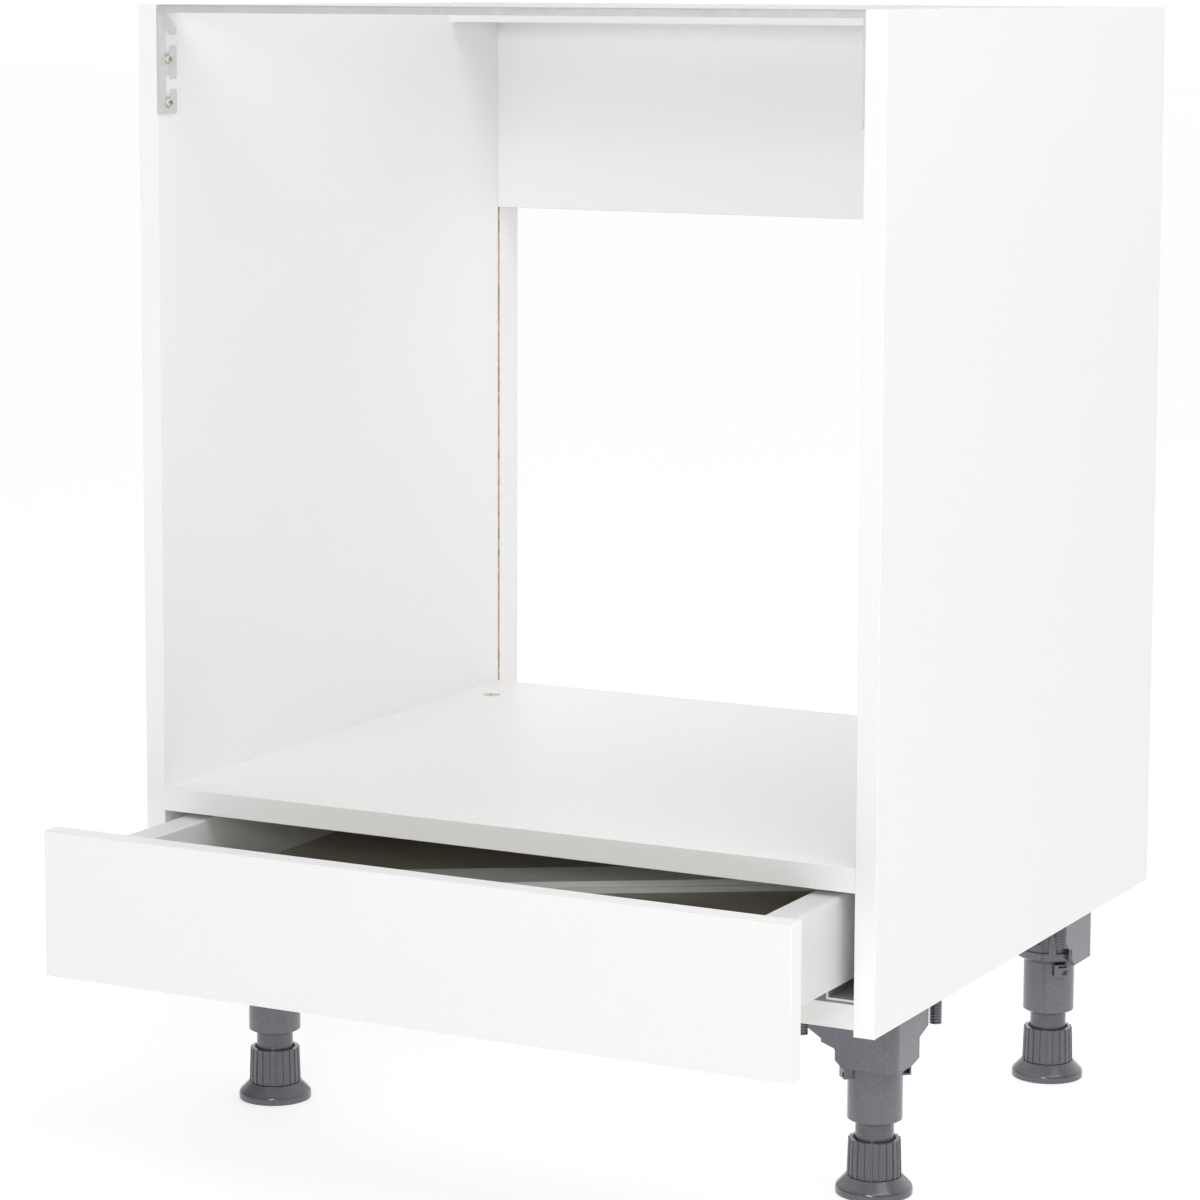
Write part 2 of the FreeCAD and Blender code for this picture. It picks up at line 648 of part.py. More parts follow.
def front_rail():
    """One folded sheet: a flat with a front lip, and a hooked ear down each side panel."""
    body = new_body("front_rail", (0, front_y, top_z))
    ear_rear = S.rail_depth
    corner_front = S.rail_depth - S.ear_corner_depth
    corner_low = -S.ear_corner_height - S.rail_sheet
    ear = [
        (0, 0), (0, -S.ear_height), (ear_rear, -S.ear_height), (ear_rear, corner_low),
        (corner_front, -S.rail_sheet), (corner_front, 0),
    ]
    flat = rectangle(body, "XY_Plane", "rail_flat", (-inner_x, 0), (inner_x, S.rail_depth))
    pad(body, flat, S.rail_sheet, reverse=True)
    lip = rectangle(body, "XZ_Plane", "rail_lip", (-inner_x, -S.rail_lip), (inner_x, 0))
    pad(body, lip, S.rail_sheet, reverse=True)
    for name, side in SIDES:
        sketch = outline(body, "YZ_Plane", f"rail_ear_{name}", ear, side * inner_x)
        pad(body, sketch, S.rail_sheet, reverse=side > 0)
    slot_front = S.hook_setback - S.hook_slot_width / 2
    slot_rear = S.hook_setback + S.hook_slot_width / 2
    for index, z in enumerate(hook_heights):
        axis_z = z - top_z
        slot_top = axis_z + S.hook_rise
        mouth_top = slot_top - S.hook_mouth_drop
        mouth_low = mouth_top - S.hook_mouth
        slot_low = axis_z - S.hook_slot_width / 2
        slot = [
            (slot_front, slot_low), (slot_rear, slot_low), (slot_rear, mouth_low), (ear_rear, mouth_low),
            (ear_rear, mouth_top), (slot_rear, mouth_top), (slot_rear, slot_top), (slot_front, slot_top),
        ]
        sketch = outline(body, "YZ_Plane", f"rail_slot_{index}", slot)
        pocket(body, sketch, S.carcass_width, both_ways=True)
    doc.recompute()
    slots_cut = body.Tip

    def hook_corner(edge):
        middle = edge.CenterOfMass
        on_ear = edge.Length < 2 * S.rail_sheet.value and middle.z < -S.rail_lip.value
        return runs_along(edge, "x") and on_ear and middle.y > S.rail_sheet.value

    round_edges(body, slots_cut, S.hook_corner, hook_corner)
    half_spacing = S.worktop_hole_spacing / 2
    centres = [(-half_spacing, S.rail_depth / 2), (half_spacing, S.rail_depth / 2)]
    holes = circles(body, "XY_Plane", "rail_worktop_holes", centres, S.worktop_hole_diameter)
    pocket(body, holes, S.rail_sheet)
    node("front_rail", body)
    screws = []
    for name, side in SIDES:
        for index, z in enumerate(hook_heights):
            screws.append(system_screw(f"rail_screw_{name}_{index}", side, hook_y, z, S.rail_sheet))
    node("rail_screws", group("rail_screw_set", screws))


# Drawer places at rest: the drawer stands open by drawer_opening
drawer_front_rear = front_y - S.drawer_opening - S.front_gap
drawer_rear = drawer_front_rear + S.drawer_length
front_low = base_z + S.front_lift
front_high = shelf_low + S.front_cover
side_low = bottom_top + S.drawer_side_lift
side_top = shelf_low - S.drawer_side_room
side_outer = inner_x - S.drawer_side_gap
side_inner = side_outer - S.drawer_side_width
side_middle = side_outer - S.drawer_side_width / 2
floor_low = side_low + S.drawer_side_sheet
floor_top = floor_low + S.drawer_bottom_thickness
back_screw_x = side_inner - S.back_fixing_reach / 2

# Runner levels, up from the track head on the cabinet member
track_low = side_low + S.track_rise
track_top = track_low + S.track_height
ball_space = S.ball_diameter + 2 * S.ball_room
middle_inside_top = track_top + ball_space
middle_top = middle_inside_top + S.slide_sheet
member_inside_top = middle_top + ball_space
member_top = member_inside_top + S.slide_sheet
runner_offset = S.drawer_side_gap + S.drawer_side_width / 2

# Levels of the fixing angles, between the runner and the top of the hollow drawer side
fixing_low = member_top + S.fixing_low_gap
fixing_top = side_top - S.drawer_side_sheet - S.fixing_top_gap
fixing_height = fixing_top - fixing_low
fixing_screw_heights = [fixing_low + S.wood_screw_edge, fixing_top - S.wood_screw_edge]


def drawer_front():
    body = new_body("drawer_front", (0, drawer_front_rear, front_low))
    half = S.front_width / 2
    sketch = rectangle(body, "XZ_Plane", "drawer_front_face", (-half, 0), (half, front_high - front_low))
    slab = pad(body, sketch, S.front_thickness)
    round_edges(body, slab, S.front_rounding, lambda edge: True)
    centres = []
    for _, side in SIDES:
        for z in fixing_screw_heights:
            centres.append((side * side_middle, z - front_low))
    holes = circles(body, "XZ_Plane", "drawer_front_holes", centres,
                    S.wood_screw_diameter + 2 * S.fit_slack)
    pocket(body, holes, S.wood_screw_length + S.fit_slack, reverse=True)
    node("drawer_front", body)


def drawer_sides():
    """Folded double-wall sides, open below for the runner, with a ledge for the drawer bottom."""
    sheet_wall, wide, high = S.drawer_side_sheet, S.drawer_side_width, side_top - side_low
    for name, side in SIDES:
        body = new_body(f"drawer_side_{name}", (side * side_outer, drawer_front_rear, side_low))
        section = [
            (0, 0), (0, high), (wide, high), (wide, sheet_wall), (wide + S.drawer_ledge, sheet_wall),
            (wide + S.drawer_ledge, 0), (wide - sheet_wall, 0), (wide - sheet_wall, high - sheet_wall),
            (sheet_wall, high - sheet_wall), (sheet_wall, 0),
        ]
        points = [(-side * inward, z) for inward, z in section]
        sketch = outline(body, "XZ_Plane", f"drawer_side_section_{name}", points)
        length = pad(body, sketch, S.drawer_length, reverse=True)

        def outer_top_edge(edge):
            high_edge = near(edge.CenterOfMass.z, high.value)
            return runs_along(edge, "y") and high_edge and near(edge.CenterOfMass.x, 0)

        round_edges(body, length, S.drawer_side_rounding, outer_top_edge)
        node(f"drawer_side_{name}", body)


def drawer_boards():
    floor_high = (side_inner, drawer_rear, floor_top)
    node("drawer_bottom", box("drawer_floor", (-side_inner, drawer_front_rear, floor_low), floor_high))
    back_low = (-side_inner, drawer_rear - S.drawer_back_thickness, floor_top)
    slab = box("drawer_back_slab", back_low, (side_inner, drawer_rear, side_top - S.drawer_back_drop))
    holes = []
    deep = S.wood_screw_length + S.fit_slack
    for name, side in SIDES:
        for index, z in enumerate(fixing_screw_heights):
            hole_floor = (side * back_screw_x, drawer_rear - deep, z)
            holes.append(cylinder(f"drawer_back_hole_{name}_{index}", hole_floor,
                                  S.wood_screw_diameter / 2 + S.fit_slack, deep, TURN_Z_TO_Y))
    node("drawer_back", cut("drawer_back_board", slab, holes))


def loose_trim_strip():
    """Rebated strip that lies slantwise on the drawer bottom, from side to side."""
    body = new_body("loose_trim_strip", (0, drawer_front_rear + S.strip_inset, floor_top))
    body.Placement.Rotation = FreeCAD.Rotation(FreeCAD.Vector(0, 0, 1), STRIP_TURN)
    half, layer = S.strip_width / 2, S.strip_layer
    section = [
        (-half - S.strip_lip, 0), (half, 0), (half, 2 * layer), (-half, 2 * layer), (-half, layer),
        (-half - S.strip_lip, layer),
    ]
    sketch = outline(body, "YZ_Plane", "trim_strip_section", section)
    pad(body, sketch, S.strip_length, both_ways=True)
    node("loose_trim_strip", body)


def wood_screw(name, x, y, z, way):
    """A pan-head screw along Y; y is the seat of its head and way the direction of its point."""
    tip, head = S.wood_screw_length + S.fixing_sheet, S.wood_screw_head_height
    shank_start = y if way > 0 else y - tip
    head_start = y - head if way > 0 else y
    shank = cylinder(name + "_shank", (x, shank_start, z), S.wood_screw_diameter / 2, tip, TURN_Z_TO_Y)
    cap = cylinder(name + "_head", (x, head_start, z), S.wood_screw_head / 2, head, TURN_Z_TO_Y)
    return fuse(name, [shank, cap])


def drawer_fixings():
    """Steel angles that hold the front and the back to the hollow sides, with their screws."""
    front_screws, back_screws = [], []
    hole = S.wood_screw_diameter + 2 * S.fit_slack
    inside_half = S.drawer_side_width / 2 - S.drawer_side_sheet
    for name, side in SIDES:
        body = new_body(f"front_fixing_{name}", (side * side_middle, drawer_front_rear, fixing_low))
        angle = [
            (-inside_half, 0), (inside_half, 0), (inside_half, S.fixing_leg),
            (inside_half - S.fixing_sheet, S.fixing_leg), (inside_half - S.fixing_sheet, S.fixing_sheet),
            (-inside_half, S.fixing_sheet),
        ]
        points = [(side * x, y) for x, y in angle]
        sketch = outline(body, "XY_Plane", f"front_fixing_plan_{name}", points)
        pad(body, sketch, fixing_height)
        heights = [(0, z - fixing_low) for z in fixing_screw_heights]
        holes = circles(body, "XZ_Plane", f"front_fixing_holes_{name}", heights, hole)
        pocket(body, holes, S.fixing_sheet)
        node(f"drawer_front_fixing_{name}", body)
        back = new_body(f"back_fixing_{name}", (side * side_middle, drawer_rear, fixing_low))
        far = S.drawer_side_width / 2 + S.back_fixing_reach
        low_x, high_x = outward(side, -far, inside_half)
        plate = rectangle(back, "XZ_Plane", f"back_fixing_face_{name}", (low_x, 0),
                          (high_x, fixing_height))
        pad(back, plate, S.fixing_sheet, reverse=True)
        heights = [(side * (back_screw_x - side_middle), z - fixing_low) for z in fixing_screw_heights]
        holes = circles(back, "XZ_Plane", f"back_fixing_holes_{name}", heights, hole)
        pocket(back, holes, S.fixing_sheet)
        node(f"drawer_back_fixing_{name}", back)
        for index, z in enumerate(fixing_screw_heights):
            front_screws.append(wood_screw(f"front_screw_{name}_{index}", side * side_middle,
                                           drawer_front_rear + S.fixing_sheet, z, -1))
            back_screws.append(wood_screw(f"back_screw_{name}_{index}", side * back_screw_x,
                                          drawer_rear + S.fixing_sheet, z, -1))
    node("drawer_front_screws", group("front_screw_set", front_screws))
    node("drawer_back_screws", group("back_screw_set", back_screws))


def cabinet_runners():
    sheet_wall, half_stem, half_track = S.runner_sheet, S.runner_sheet / 2, S.track_width / 2
    low, high = track_low - runner_foot, track_top - runner_foot
    screws = []
    for name, side in SIDES:
        body = new_body(f"cabinet_runner_{name}", (side * inner_x, runner_front, runner_foot))
        section = [
            (0, S.runner_web), (sheet_wall, S.runner_web), (sheet_wall, sheet_wall),
            (runner_offset - half_stem, sheet_wall), (runner_offset - half_stem, low),
            (runner_offset - half_track, low), (runner_offset - half_track, high),
            (runner_offset + half_track, high), (runner_offset + half_track, low),
            (runner_offset + half_stem, low), (runner_offset + half_stem, 0), (0, 0),
        ]
        points = [(-side * inward, z) for inward, z in section]
        sketch = outline(body, "XZ_Plane", f"cabinet_runner_section_{name}", points)
        pad(body, sketch, S.runner_length, reverse=True)
        places = [(y - runner_front, S.runner_screw_lift) for y in runner_screws_y]
        holes = circles(body, "YZ_Plane", f"cabinet_runner_holes_{name}", places,
                        S.bolt_thread_diameter + 2 * S.fit_slack)
        pocket(body, holes, sheet_wall, reverse=side < 0)
        node(f"cabinet_runner_{name}", body)
        for index, y in enumerate(runner_screws_y):
            screws.append(system_screw(f"runner_screw_{name}_{index}", side, y, runner_screw_z, sheet_wall))
    node("runner_screws", group("runner_screw_set", screws))


def middle_runners():
    """C-shaped members that run on the track heads, half as far out as the drawer."""
    inside = S.track_width / 2 + S.slide_side_room
    outside = inside + S.slide_sheet
    lip = S.runner_sheet / 2 + S.slide_lip_room
    floor_z = -S.slide_lip_room
    low_z = floor_z - S.slide_sheet
    inside_top, high_z = middle_inside_top - track_low, middle_top - track_low
    start_y = front_y + S.middle_inset - S.drawer_opening / 2
    section = [
        (-lip, low_z), (-outside, low_z), (-outside, high_z), (outside, high_z), (outside, low_z),
        (lip, low_z), (lip, floor_z), (inside, floor_z), (inside, inside_top), (-inside, inside_top),
        (-inside, floor_z), (-lip, floor_z),
    ]
    for name, side in SIDES:
        body = new_body(f"middle_runner_{name}", (side * side_middle, start_y, track_low))
        sketch = outline(body, "XZ_Plane", f"middle_runner_section_{name}", section)
        pad(body, sketch, S.middle_length, reverse=True)
        node(f"middle_runner_{name}", body)


def drawer_members():
    """Channels fixed inside the hollow drawer sides, over the middle members."""
    outside = S.drawer_side_width / 2 - S.drawer_side_sheet
    inside = outside - S.slide_sheet
    leg_low = -S.member_leg_drop
    section = [
        (-outside, leg_low), (-outside, 0), (outside, 0), (outside, leg_low), (inside, leg_low),
        (inside, -S.slide_sheet), (-inside, -S.slide_sheet), (-inside, leg_low),
    ]
    for name, side in SIDES:
        body = new_body(f"drawer_runner_{name}", (side * side_middle, drawer_front_rear, member_top))
        sketch = outline(body, "XZ_Plane", f"drawer_runner_section_{name}", section)
        pad(body, sketch, S.member_length, reverse=True)
        node(f"drawer_runner_{name}", body)


def ball_cage(name, x, start_y, low_z):
    """A flat cage with two rows of balls, centred in its ball space."""
    centre_z = low_z + ball_space / 2
    half_sheet = S.cage_sheet / 2
    half_cage = S.cage_width / 2
    strip = box(name + "_strip", (x - half_cage, start_y, centre_z - half_sheet),
                (x + half_cage, start_y + S.cage_length, centre_z + half_sheet))
    holes, balls = [], []
    first = start_y + S.cage_length / 2 - S.ball_pitch * (BALLS_PER_ROW - 1) / 2
    for row in (-1, 1):
        for index in range(BALLS_PER_ROW):
            label = f"{name}_ball_{len(balls)}"
            centre = (x + row * S.ball_row_gap / 2, first + index * S.ball_pitch, centre_z)
            ball = doc.addObject("Part::Sphere", label)
            bind(ball, Radius=S.ball_diameter / 2)
            place(ball, centre)
            balls.append(ball)
            holes.append(cylinder(label + "_hole", (centre[0], centre[1], centre_z - half_sheet),
                                  S.ball_diameter / 2 + S.fit_slack, S.cage_sheet))
    node(name, group(name + "_set", [cut(name + "_cage", strip, holes)] + balls))


def ball_cages():
    lower_y = front_y + S.cage_inset - S.drawer_opening / 4
    upper_y = front_y + S.cage_inset - S.drawer_opening * 3 / 4
    for name, side in SIDES:
        ball_cage(f"lower_ball_cage_{name}", side * side_middle, lower_y, track_top)
        ball_cage(f"upper_ball_cage_{name}", side * side_middle, upper_y, middle_top)


# Screw feet
rim_z = base_z - S.rim_drop
tube_low = rim_z - S.tube_drop
tube_top = base_z - S.bracket_plate - S.tube_top_gap
disc_top = S.disc_rim + S.disc_cone
sleeve_low = disc_top + S.pivot_room
sleeve_top = sleeve_low + S.sleeve_height
collar_diameter = S.tube_diameter + 2 * S.collar_wall
rim_diameter = collar_diameter + 2 * S.rim_wall
foot_x = half_width - S.foot_side_inset
foot_y = {"front": front_y + S.foot_front_inset, "rear": rear_y - S.foot_rear_inset}


def feet():
    """Name, side, end and axis of each foot."""
    for end, way in ENDS:
        for name, side in SIDES:
            yield f"{end}_{name}", side, way, side * foot_x, foot_y[end]


def bracket_screw_offsets():
    """Screw places from a foot axis, in an unturned bracket."""
    return [
        (-S.bracket_screw_inner, -S.bracket_screw_near),
        (-S.bracket_screw_inner, S.bracket_screw_far),
        (S.bracket_screw_outer, S.bracket_screw_far),
    ]


def bracket_screw_places():
    for _, side, way, x, y in feet():
        places = bracket_screw_offsets()
        for _ in range(BRACKET_TURNS[side, way] // 90):
            places = [(-across, along) for along, across in places]
        for along, across in places:
            yield x + along, y + across


def wall_profile(steps):
    """A wall seen from its face, by reach from the foot axis and drop below the carcass."""
    lower = [(-reach, -drop) for reach, drop in steps]
    return [(S.bracket_offset, 0)] + lower + [(S.bracket_offset, -S.rim_drop)]


def wall_steps():
    """Lower outline of an end wall, from the plate down to the rim."""
    return [
        (S.wall_reach, 0), (S.wall_reach, S.wall_edge), (S.wall_notch_reach, S.wall_notch_drop),
        (S.wall_notch_reach, S.wall_notch_drop + S.wall_notch), (S.wall_step_reach, S.wall_step_drop),
        (S.wall_step_reach, S.wall_step_drop + S.wall_step), (S.wall_foot_reach, S.rim_drop),
    ]


def flank_steps():
    """Lower outline of a side wall, from the plate down to the rim."""
    return [
        (S.flank_reach, 0), (S.flank_reach, S.flank_edge), (S.flank_step_reach, S.flank_step_drop),
        (S.flank_step_reach, S.flank_step_drop + S.flank_step), (S.flank_foot_reach, S.rim_drop),
    ]


def leg_bracket(name, x, y, turn):
    """Moulded bracket: plate, end and side wall, collar with a flared rim, ribs, boss and ribbed pegs."""
    body = new_body(f"leg_bracket_{name}", (x, y, base_z))
    body.Placement.Rotation = FreeCAD.Rotation(FreeCAD.Vector(0, 0, 1), turn)
    label = f"bracket_{name}"
    offset = S.bracket_offset
    peg_room = S.peg_rib_diameter / 2 + S.peg_margin
    peg_edge, plate_far = S.peg_near + peg_room, S.peg_far + peg_room
    peg_start = S.peg_far - S.peg_rib_diameter
    corners = [
        (offset, -offset), (offset, peg_start), (peg_edge, peg_start), (peg_edge, plate_far),
        (-plate_far, plate_far), (-plate_far, -peg_edge), (-peg_start, -peg_edge), (-peg_start, -offset),
    ]
    pad(body, outline(body, "XY_Plane", label + "_plate", corners), S.bracket_plate, reverse=True)
    end_points = wall_profile(wall_steps())
    side_points = [(-along, z) for along, z in wall_profile(flank_steps())]
    wall = outline(body, "XZ_Plane", label + "_end_wall", end_points, offset)
    pad(body, wall, S.bracket_wall, reverse=True)
    wall = outline(body, "YZ_Plane", label + "_side_wall", side_points, offset)
    pad(body, wall, S.bracket_wall, reverse=True)
    pad(body, outline(body, "XZ_Plane", label + "_cross_rib", end_points), S.bracket_wall, both_ways=True)
    pad(body, outline(body, "YZ_Plane", label + "_long_rib", side_points), S.bracket_wall, both_ways=True)
    collar = circles(body, "XY_Plane", label + "_collar", [(0, 0)], collar_diameter)
    pad(body, collar, S.rim_drop - S.rim_slope, reverse=True)
    boss = circles(body, "XY_Plane", label + "_boss", [(-S.boss_far, -S.boss_near)], S.boss_diameter)
    pad(body, boss, S.rim_drop - S.rim_height, reverse=True)
    rim_low, rim_high = -S.rim_drop, S.rim_height - S.rim_drop
    inside = S.tube_diameter / 2 - S.tube_wall
    joined = revolve(body, outline(body, "XZ_Plane", label + "_rim", [
        (inside, rim_low), (S.tube_diameter / 2 + S.rim_lip, rim_low),
        (rim_diameter / 2, rim_low + S.rim_slope), (rim_diameter / 2, rim_high), (inside, rim_high),
    ]))

    def outer_corner(edge):
        middle = edge.CenterOfMass
        at_corner = near(middle.x, offset.value) and near(middle.y, -offset.value)
        return runs_along(edge, "z") and at_corner

    round_edges(body, joined, S.bracket_corner, outer_corner)
    bore_diameter = S.tube_diameter + 2 * S.fit_slack
    bore = circles(body, "XY_Plane", label + "_bore", [(0, 0)], bore_diameter, -S.rim_drop)
    pocket(body, bore, S.rim_drop - S.bracket_plate, reverse=True)
    peg_places = [(S.peg_near, S.peg_far), (-S.peg_far, -S.peg_near)]
    pegs = circles(body, "XY_Plane", label + "_pegs", peg_places, S.peg_diameter)
    pad(body, pegs, S.peg_length, reverse=True)
    low_rib = circles(body, "XY_Plane", label + "_peg_rib", peg_places, S.peg_rib_diameter, -S.peg_length)
    rib = pad(body, low_rib, S.peg_rib_height)
    ribs = body.newObject("PartDesign::LinearPattern", label + "_peg_ribs")
    ribs.Originals = [rib]
    ribs.Direction = (rib.Profile[0], ["N_Axis"])
    ribs.Mode = "Spacing"
    ribs.Occurrences = PEG_RIBS
    bind(ribs, Offset=S.peg_rib_pitch)
    body.Tip = ribs
    hole_diameter = S.bracket_screw_diameter + 2 * S.fit_slack
    holes = circles(body, "XY_Plane", label + "_holes", bracket_screw_offsets(), hole_diameter)
    pocket(body, holes, S.bracket_plate)
    node(f"leg_bracket_{name}", body)


def bracket_screws():
    screws = []
    head_low = base_z - S.bracket_plate - S.wood_screw_head_height
    for index, (x, y) in enumerate(bracket_screw_places()):
        shank = cylinder(f"bracket_shank_{index}", (x, y, base_z - S.bracket_plate),
                         S.bracket_screw_diameter / 2, S.bracket_plate + S.bracket_screw_length)
        head = cylinder(f"bracket_head_{index}", (x, y, head_low), S.wood_screw_head / 2,
                        S.wood_screw_head_height)
        screws.append(fuse(f"bracket_screw_{index}", [shank, head]))
    node("bracket_screws", group("bracket_screw_set", screws))


def snap_lug(body, label, way):
    """A lug on one side of a tube: hollow from its flank, with a slit and a window in its face."""
    outer, half = S.tube_diameter / 2, S.lug_width / 2
    face = outer + S.lug_reach
    low, high = S.tube_drop - S.lug_height, S.tube_drop
    low_x, high_x = outward(way, outer - S.tube_wall / 2, face)
    block = rectangle(body, "XY_Plane", label + "_block", (low_x, -half), (high_x, half), low)
    pad(body, block, S.lug_height)
    low_x, high_x = outward(way, outer + S.fit_slack, face - S.lug_skin)
    hollow = rectangle(body, "XZ_Plane", label + "_hollow", (low_x, low + S.lug_skin),
                       (high_x, high - S.lug_skin), way * half)
    pocket(body, hollow, S.lug_hollow, reverse=way < 0)
    slit_top = high - S.lug_slit_drop
    window_low = low + S.lug_skin
    for part, length, part_low, part_high in (
            ("slit", S.lug_slit_length, slit_top - S.lug_slit_height, slit_top),
            ("window", S.lug_window, window_low, window_low + S.lug_window)):
        low_y, high_y = outward(way, half - S.lug_skin / 2 - length, half - S.lug_skin / 2)
        opening = rectangle(body, "YZ_Plane", f"{label}_{part}", (low_y, part_low), (high_y, part_high),
                            way * face)
        pocket(body, opening, S.lug_skin, reverse=way < 0)


def leg_tube(name, x, y, turn):
    """Tube pushed up into its bracket, with a threaded floor and two snap lugs."""
    body = new_body(f"leg_tube_{name}", (x, y, tube_low))
    body.Placement.Rotation = FreeCAD.Rotation(FreeCAD.Vector(0, 0, 1), turn)
    label = f"tube_{name}"
    outer, bore = S.tube_diameter / 2, S.stem_diameter / 2 + S.stem_room
    inner = outer - S.tube_wall
    high = tube_top - tube_low
    profile = [
        (bore, 0), (outer - S.tube_chamfer, 0), (outer, S.tube_chamfer_height), (outer, high),
        (inner, high), (inner, S.tube_floor), (bore, S.tube_floor),
    ]
    revolve(body, outline(body, "XZ_Plane", label + "_half", profile))
    for name_of_side, way in SIDES:
        snap_lug(body, f"{label}_lug_{name_of_side}", way)
    node(f"leg_tube_{name}", body)


def foot_sleeve(name, x, y):
    """Ribbed sleeve with its screw stem above and a pivot below."""
    body = new_body(f"foot_sleeve_{name}", (x, y, 0))
    label = f"sleeve_{name}"
    pivot, stem = S.pivot_diameter / 2, S.stem_diameter / 2
    low, high = S.sleeve_low_diameter / 2, S.sleeve_top_diameter / 2
    valley_low, valley_high = low - S.sleeve_rib_height, high - S.sleeve_rib_height
    stem_top = tube_low + S.stem_engagement
    profile = [
        (0, sleeve_low - S.pivot_height), (pivot, sleeve_low - S.pivot_height), (pivot, sleeve_low),
        (valley_low, sleeve_low), (valley_high, sleeve_top), (stem, sleeve_top),
        (stem, stem_top), (0, stem_top),
    ]
    revolve(body, outline(body, "XZ_Plane", label + "_half", profile))
    root_low, root_high = valley_low - S.sleeve_rib_height, valley_high - S.sleeve_rib_height
    rib_profile = [(root_low, sleeve_low), (low, sleeve_low), (high, sleeve_top), (root_high, sleeve_top)]
    rib_face = outline(body, "XZ_Plane", label + "_rib", rib_profile)
    rib = pad(body, rib_face, S.sleeve_rib_width, both_ways=True)
    ribs = body.newObject("PartDesign::PolarPattern", label + "_ribs")
    ribs.Originals = [rib]
    axis = next(feature for feature in body.Origin.OriginFeatures if feature.Role == "Z_Axis")
    ribs.Axis = (axis, [""])
    ribs.Angle = 360
    ribs.Occurrences = SLEEVE_RIBS
    body.Tip = ribs
    node(f"foot_sleeve_{name}", body)


def foot_disc(name, x, y):
    body = new_body(f"foot_disc_{name}", (x, y, 0))
    outer, top = S.disc_diameter / 2, S.disc_top_diameter / 2
    socket = S.pivot_diameter / 2 + S.pivot_fit
    socket_floor = disc_top - S.pivot_height - S.pivot_room
    profile = [
        (0, 0), (outer - S.disc_chamfer, 0), (outer, S.disc_chamfer), (outer, S.disc_rim), (top, disc_top),
        (socket, disc_top), (socket, socket_floor), (0, socket_floor),
    ]
    revolve(body, outline(body, "XZ_Plane", f"disc_{name}_half", profile))
    node(f"foot_disc_{name}", body)


def screw_feet():
    for name, side, way, x, y in feet():
        turn = BRACKET_TURNS[side, way]
        leg_bracket(name, x, y, turn)
        leg_tube(name, x, y, turn + LUG_TURN)
        foot_sleeve(name, x, y)
        foot_disc(name, x, y)
    bracket_screws()


def write_parts():
    """Stops on any failed object, then writes one file for each sub-part."""
    doc.recompute()
    for thing in doc.Objects:
        if "Invalid" in thing.State or "Error" in thing.State:
            raise ValueError(f"{thing.Name} failed: {thing.State}")
    for name, thing in nodes.items():
        if thing.Shape.isNull() or not thing.Shape.isValid():
            raise ValueError(f"{name} has no valid shape")
    os.makedirs("parts", exist_ok=True)
    for name, thing in nodes.items():
        thing.Shape.exportStep(f"parts/{name}.step")


side_panels()
boards()
edge_bands()
fittings()
front_rail()
drawer_front()
drawer_sides()
drawer_boards()
loose_trim_strip()
drawer_fixings()
cabinet_runners()
middle_runners()
drawer_members()
ball_cages()
screw_feet()
write_parts()
print(len(nodes), "sub-parts written")
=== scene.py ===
"""Dresses an oven housing cabinet: faced boards, a metal-sided drawer, a steel rail and screw feet."""

import contextlib
import math

import bmesh
import bpy
from bpy.props import FloatProperty, FloatVectorProperty, IntProperty, PointerProperty
from mathutils import Euler, Matrix, Vector


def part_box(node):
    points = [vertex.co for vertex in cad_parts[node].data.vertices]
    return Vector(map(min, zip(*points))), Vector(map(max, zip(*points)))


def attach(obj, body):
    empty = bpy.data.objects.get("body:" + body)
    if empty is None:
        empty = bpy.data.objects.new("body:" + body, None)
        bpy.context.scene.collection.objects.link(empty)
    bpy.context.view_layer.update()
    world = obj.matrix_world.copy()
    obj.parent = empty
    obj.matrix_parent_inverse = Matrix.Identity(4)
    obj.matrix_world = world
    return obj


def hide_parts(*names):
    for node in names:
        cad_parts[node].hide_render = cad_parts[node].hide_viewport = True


bl_info = {
    "name": "Oven housing cabinet",
    "version": (1, 0, 0),
    "blender": (4, 5, 0),
    "location": "View3D > Sidebar > Cabinet",
    "description": "Builds the boards, drawer, rail and screw feet of an oven housing cabinet",
    "category": "Object",
}

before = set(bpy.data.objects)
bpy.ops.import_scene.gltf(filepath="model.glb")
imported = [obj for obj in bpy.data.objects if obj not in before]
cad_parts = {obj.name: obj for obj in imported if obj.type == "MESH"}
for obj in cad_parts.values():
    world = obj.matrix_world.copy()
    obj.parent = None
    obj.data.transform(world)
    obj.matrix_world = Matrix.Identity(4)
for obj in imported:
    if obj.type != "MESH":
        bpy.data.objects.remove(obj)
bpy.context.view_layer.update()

SIDES = (("left", -1), ("right", 1))
CORNERS = [f"{end}_{side}" for end in ("front", "rear") for side, _ in SIDES]
# Turn of each leg tube's snap lugs, and of the upper and lower rail screws, in degrees
TUBE_TURNS = {"front_right": 43, "rear_right": 133, "rear_left": 223, "front_left": 313}
SCREW_TURNS = (25, 65)
SCREW_SIDES = 48
SLEEVE_RIBS = 20
POINTS_PER_RIB = 20
# Points from the middle of a rib that lie on its outside
RIB_TOP = 2

# Distance below which two places count as one, below which points merge, and a cutter's overhang
HAIR = 0.00002
WELD = 0.000004
CLEAR = 0.001
# Cosine above which two directions count as one
SAME_WAY = 0.999
# Turns in degrees, for faces that count as flat and edges that count as sharp
FLAT_TURN = 0.4
SHARP_TURN = 30
# Turns in degrees from which an edge is rounded on a bracket or shaded as a crease
BRACKET_EDGE = 35
BOARD_CREASE = 32
MOULDED_CREASE = 40


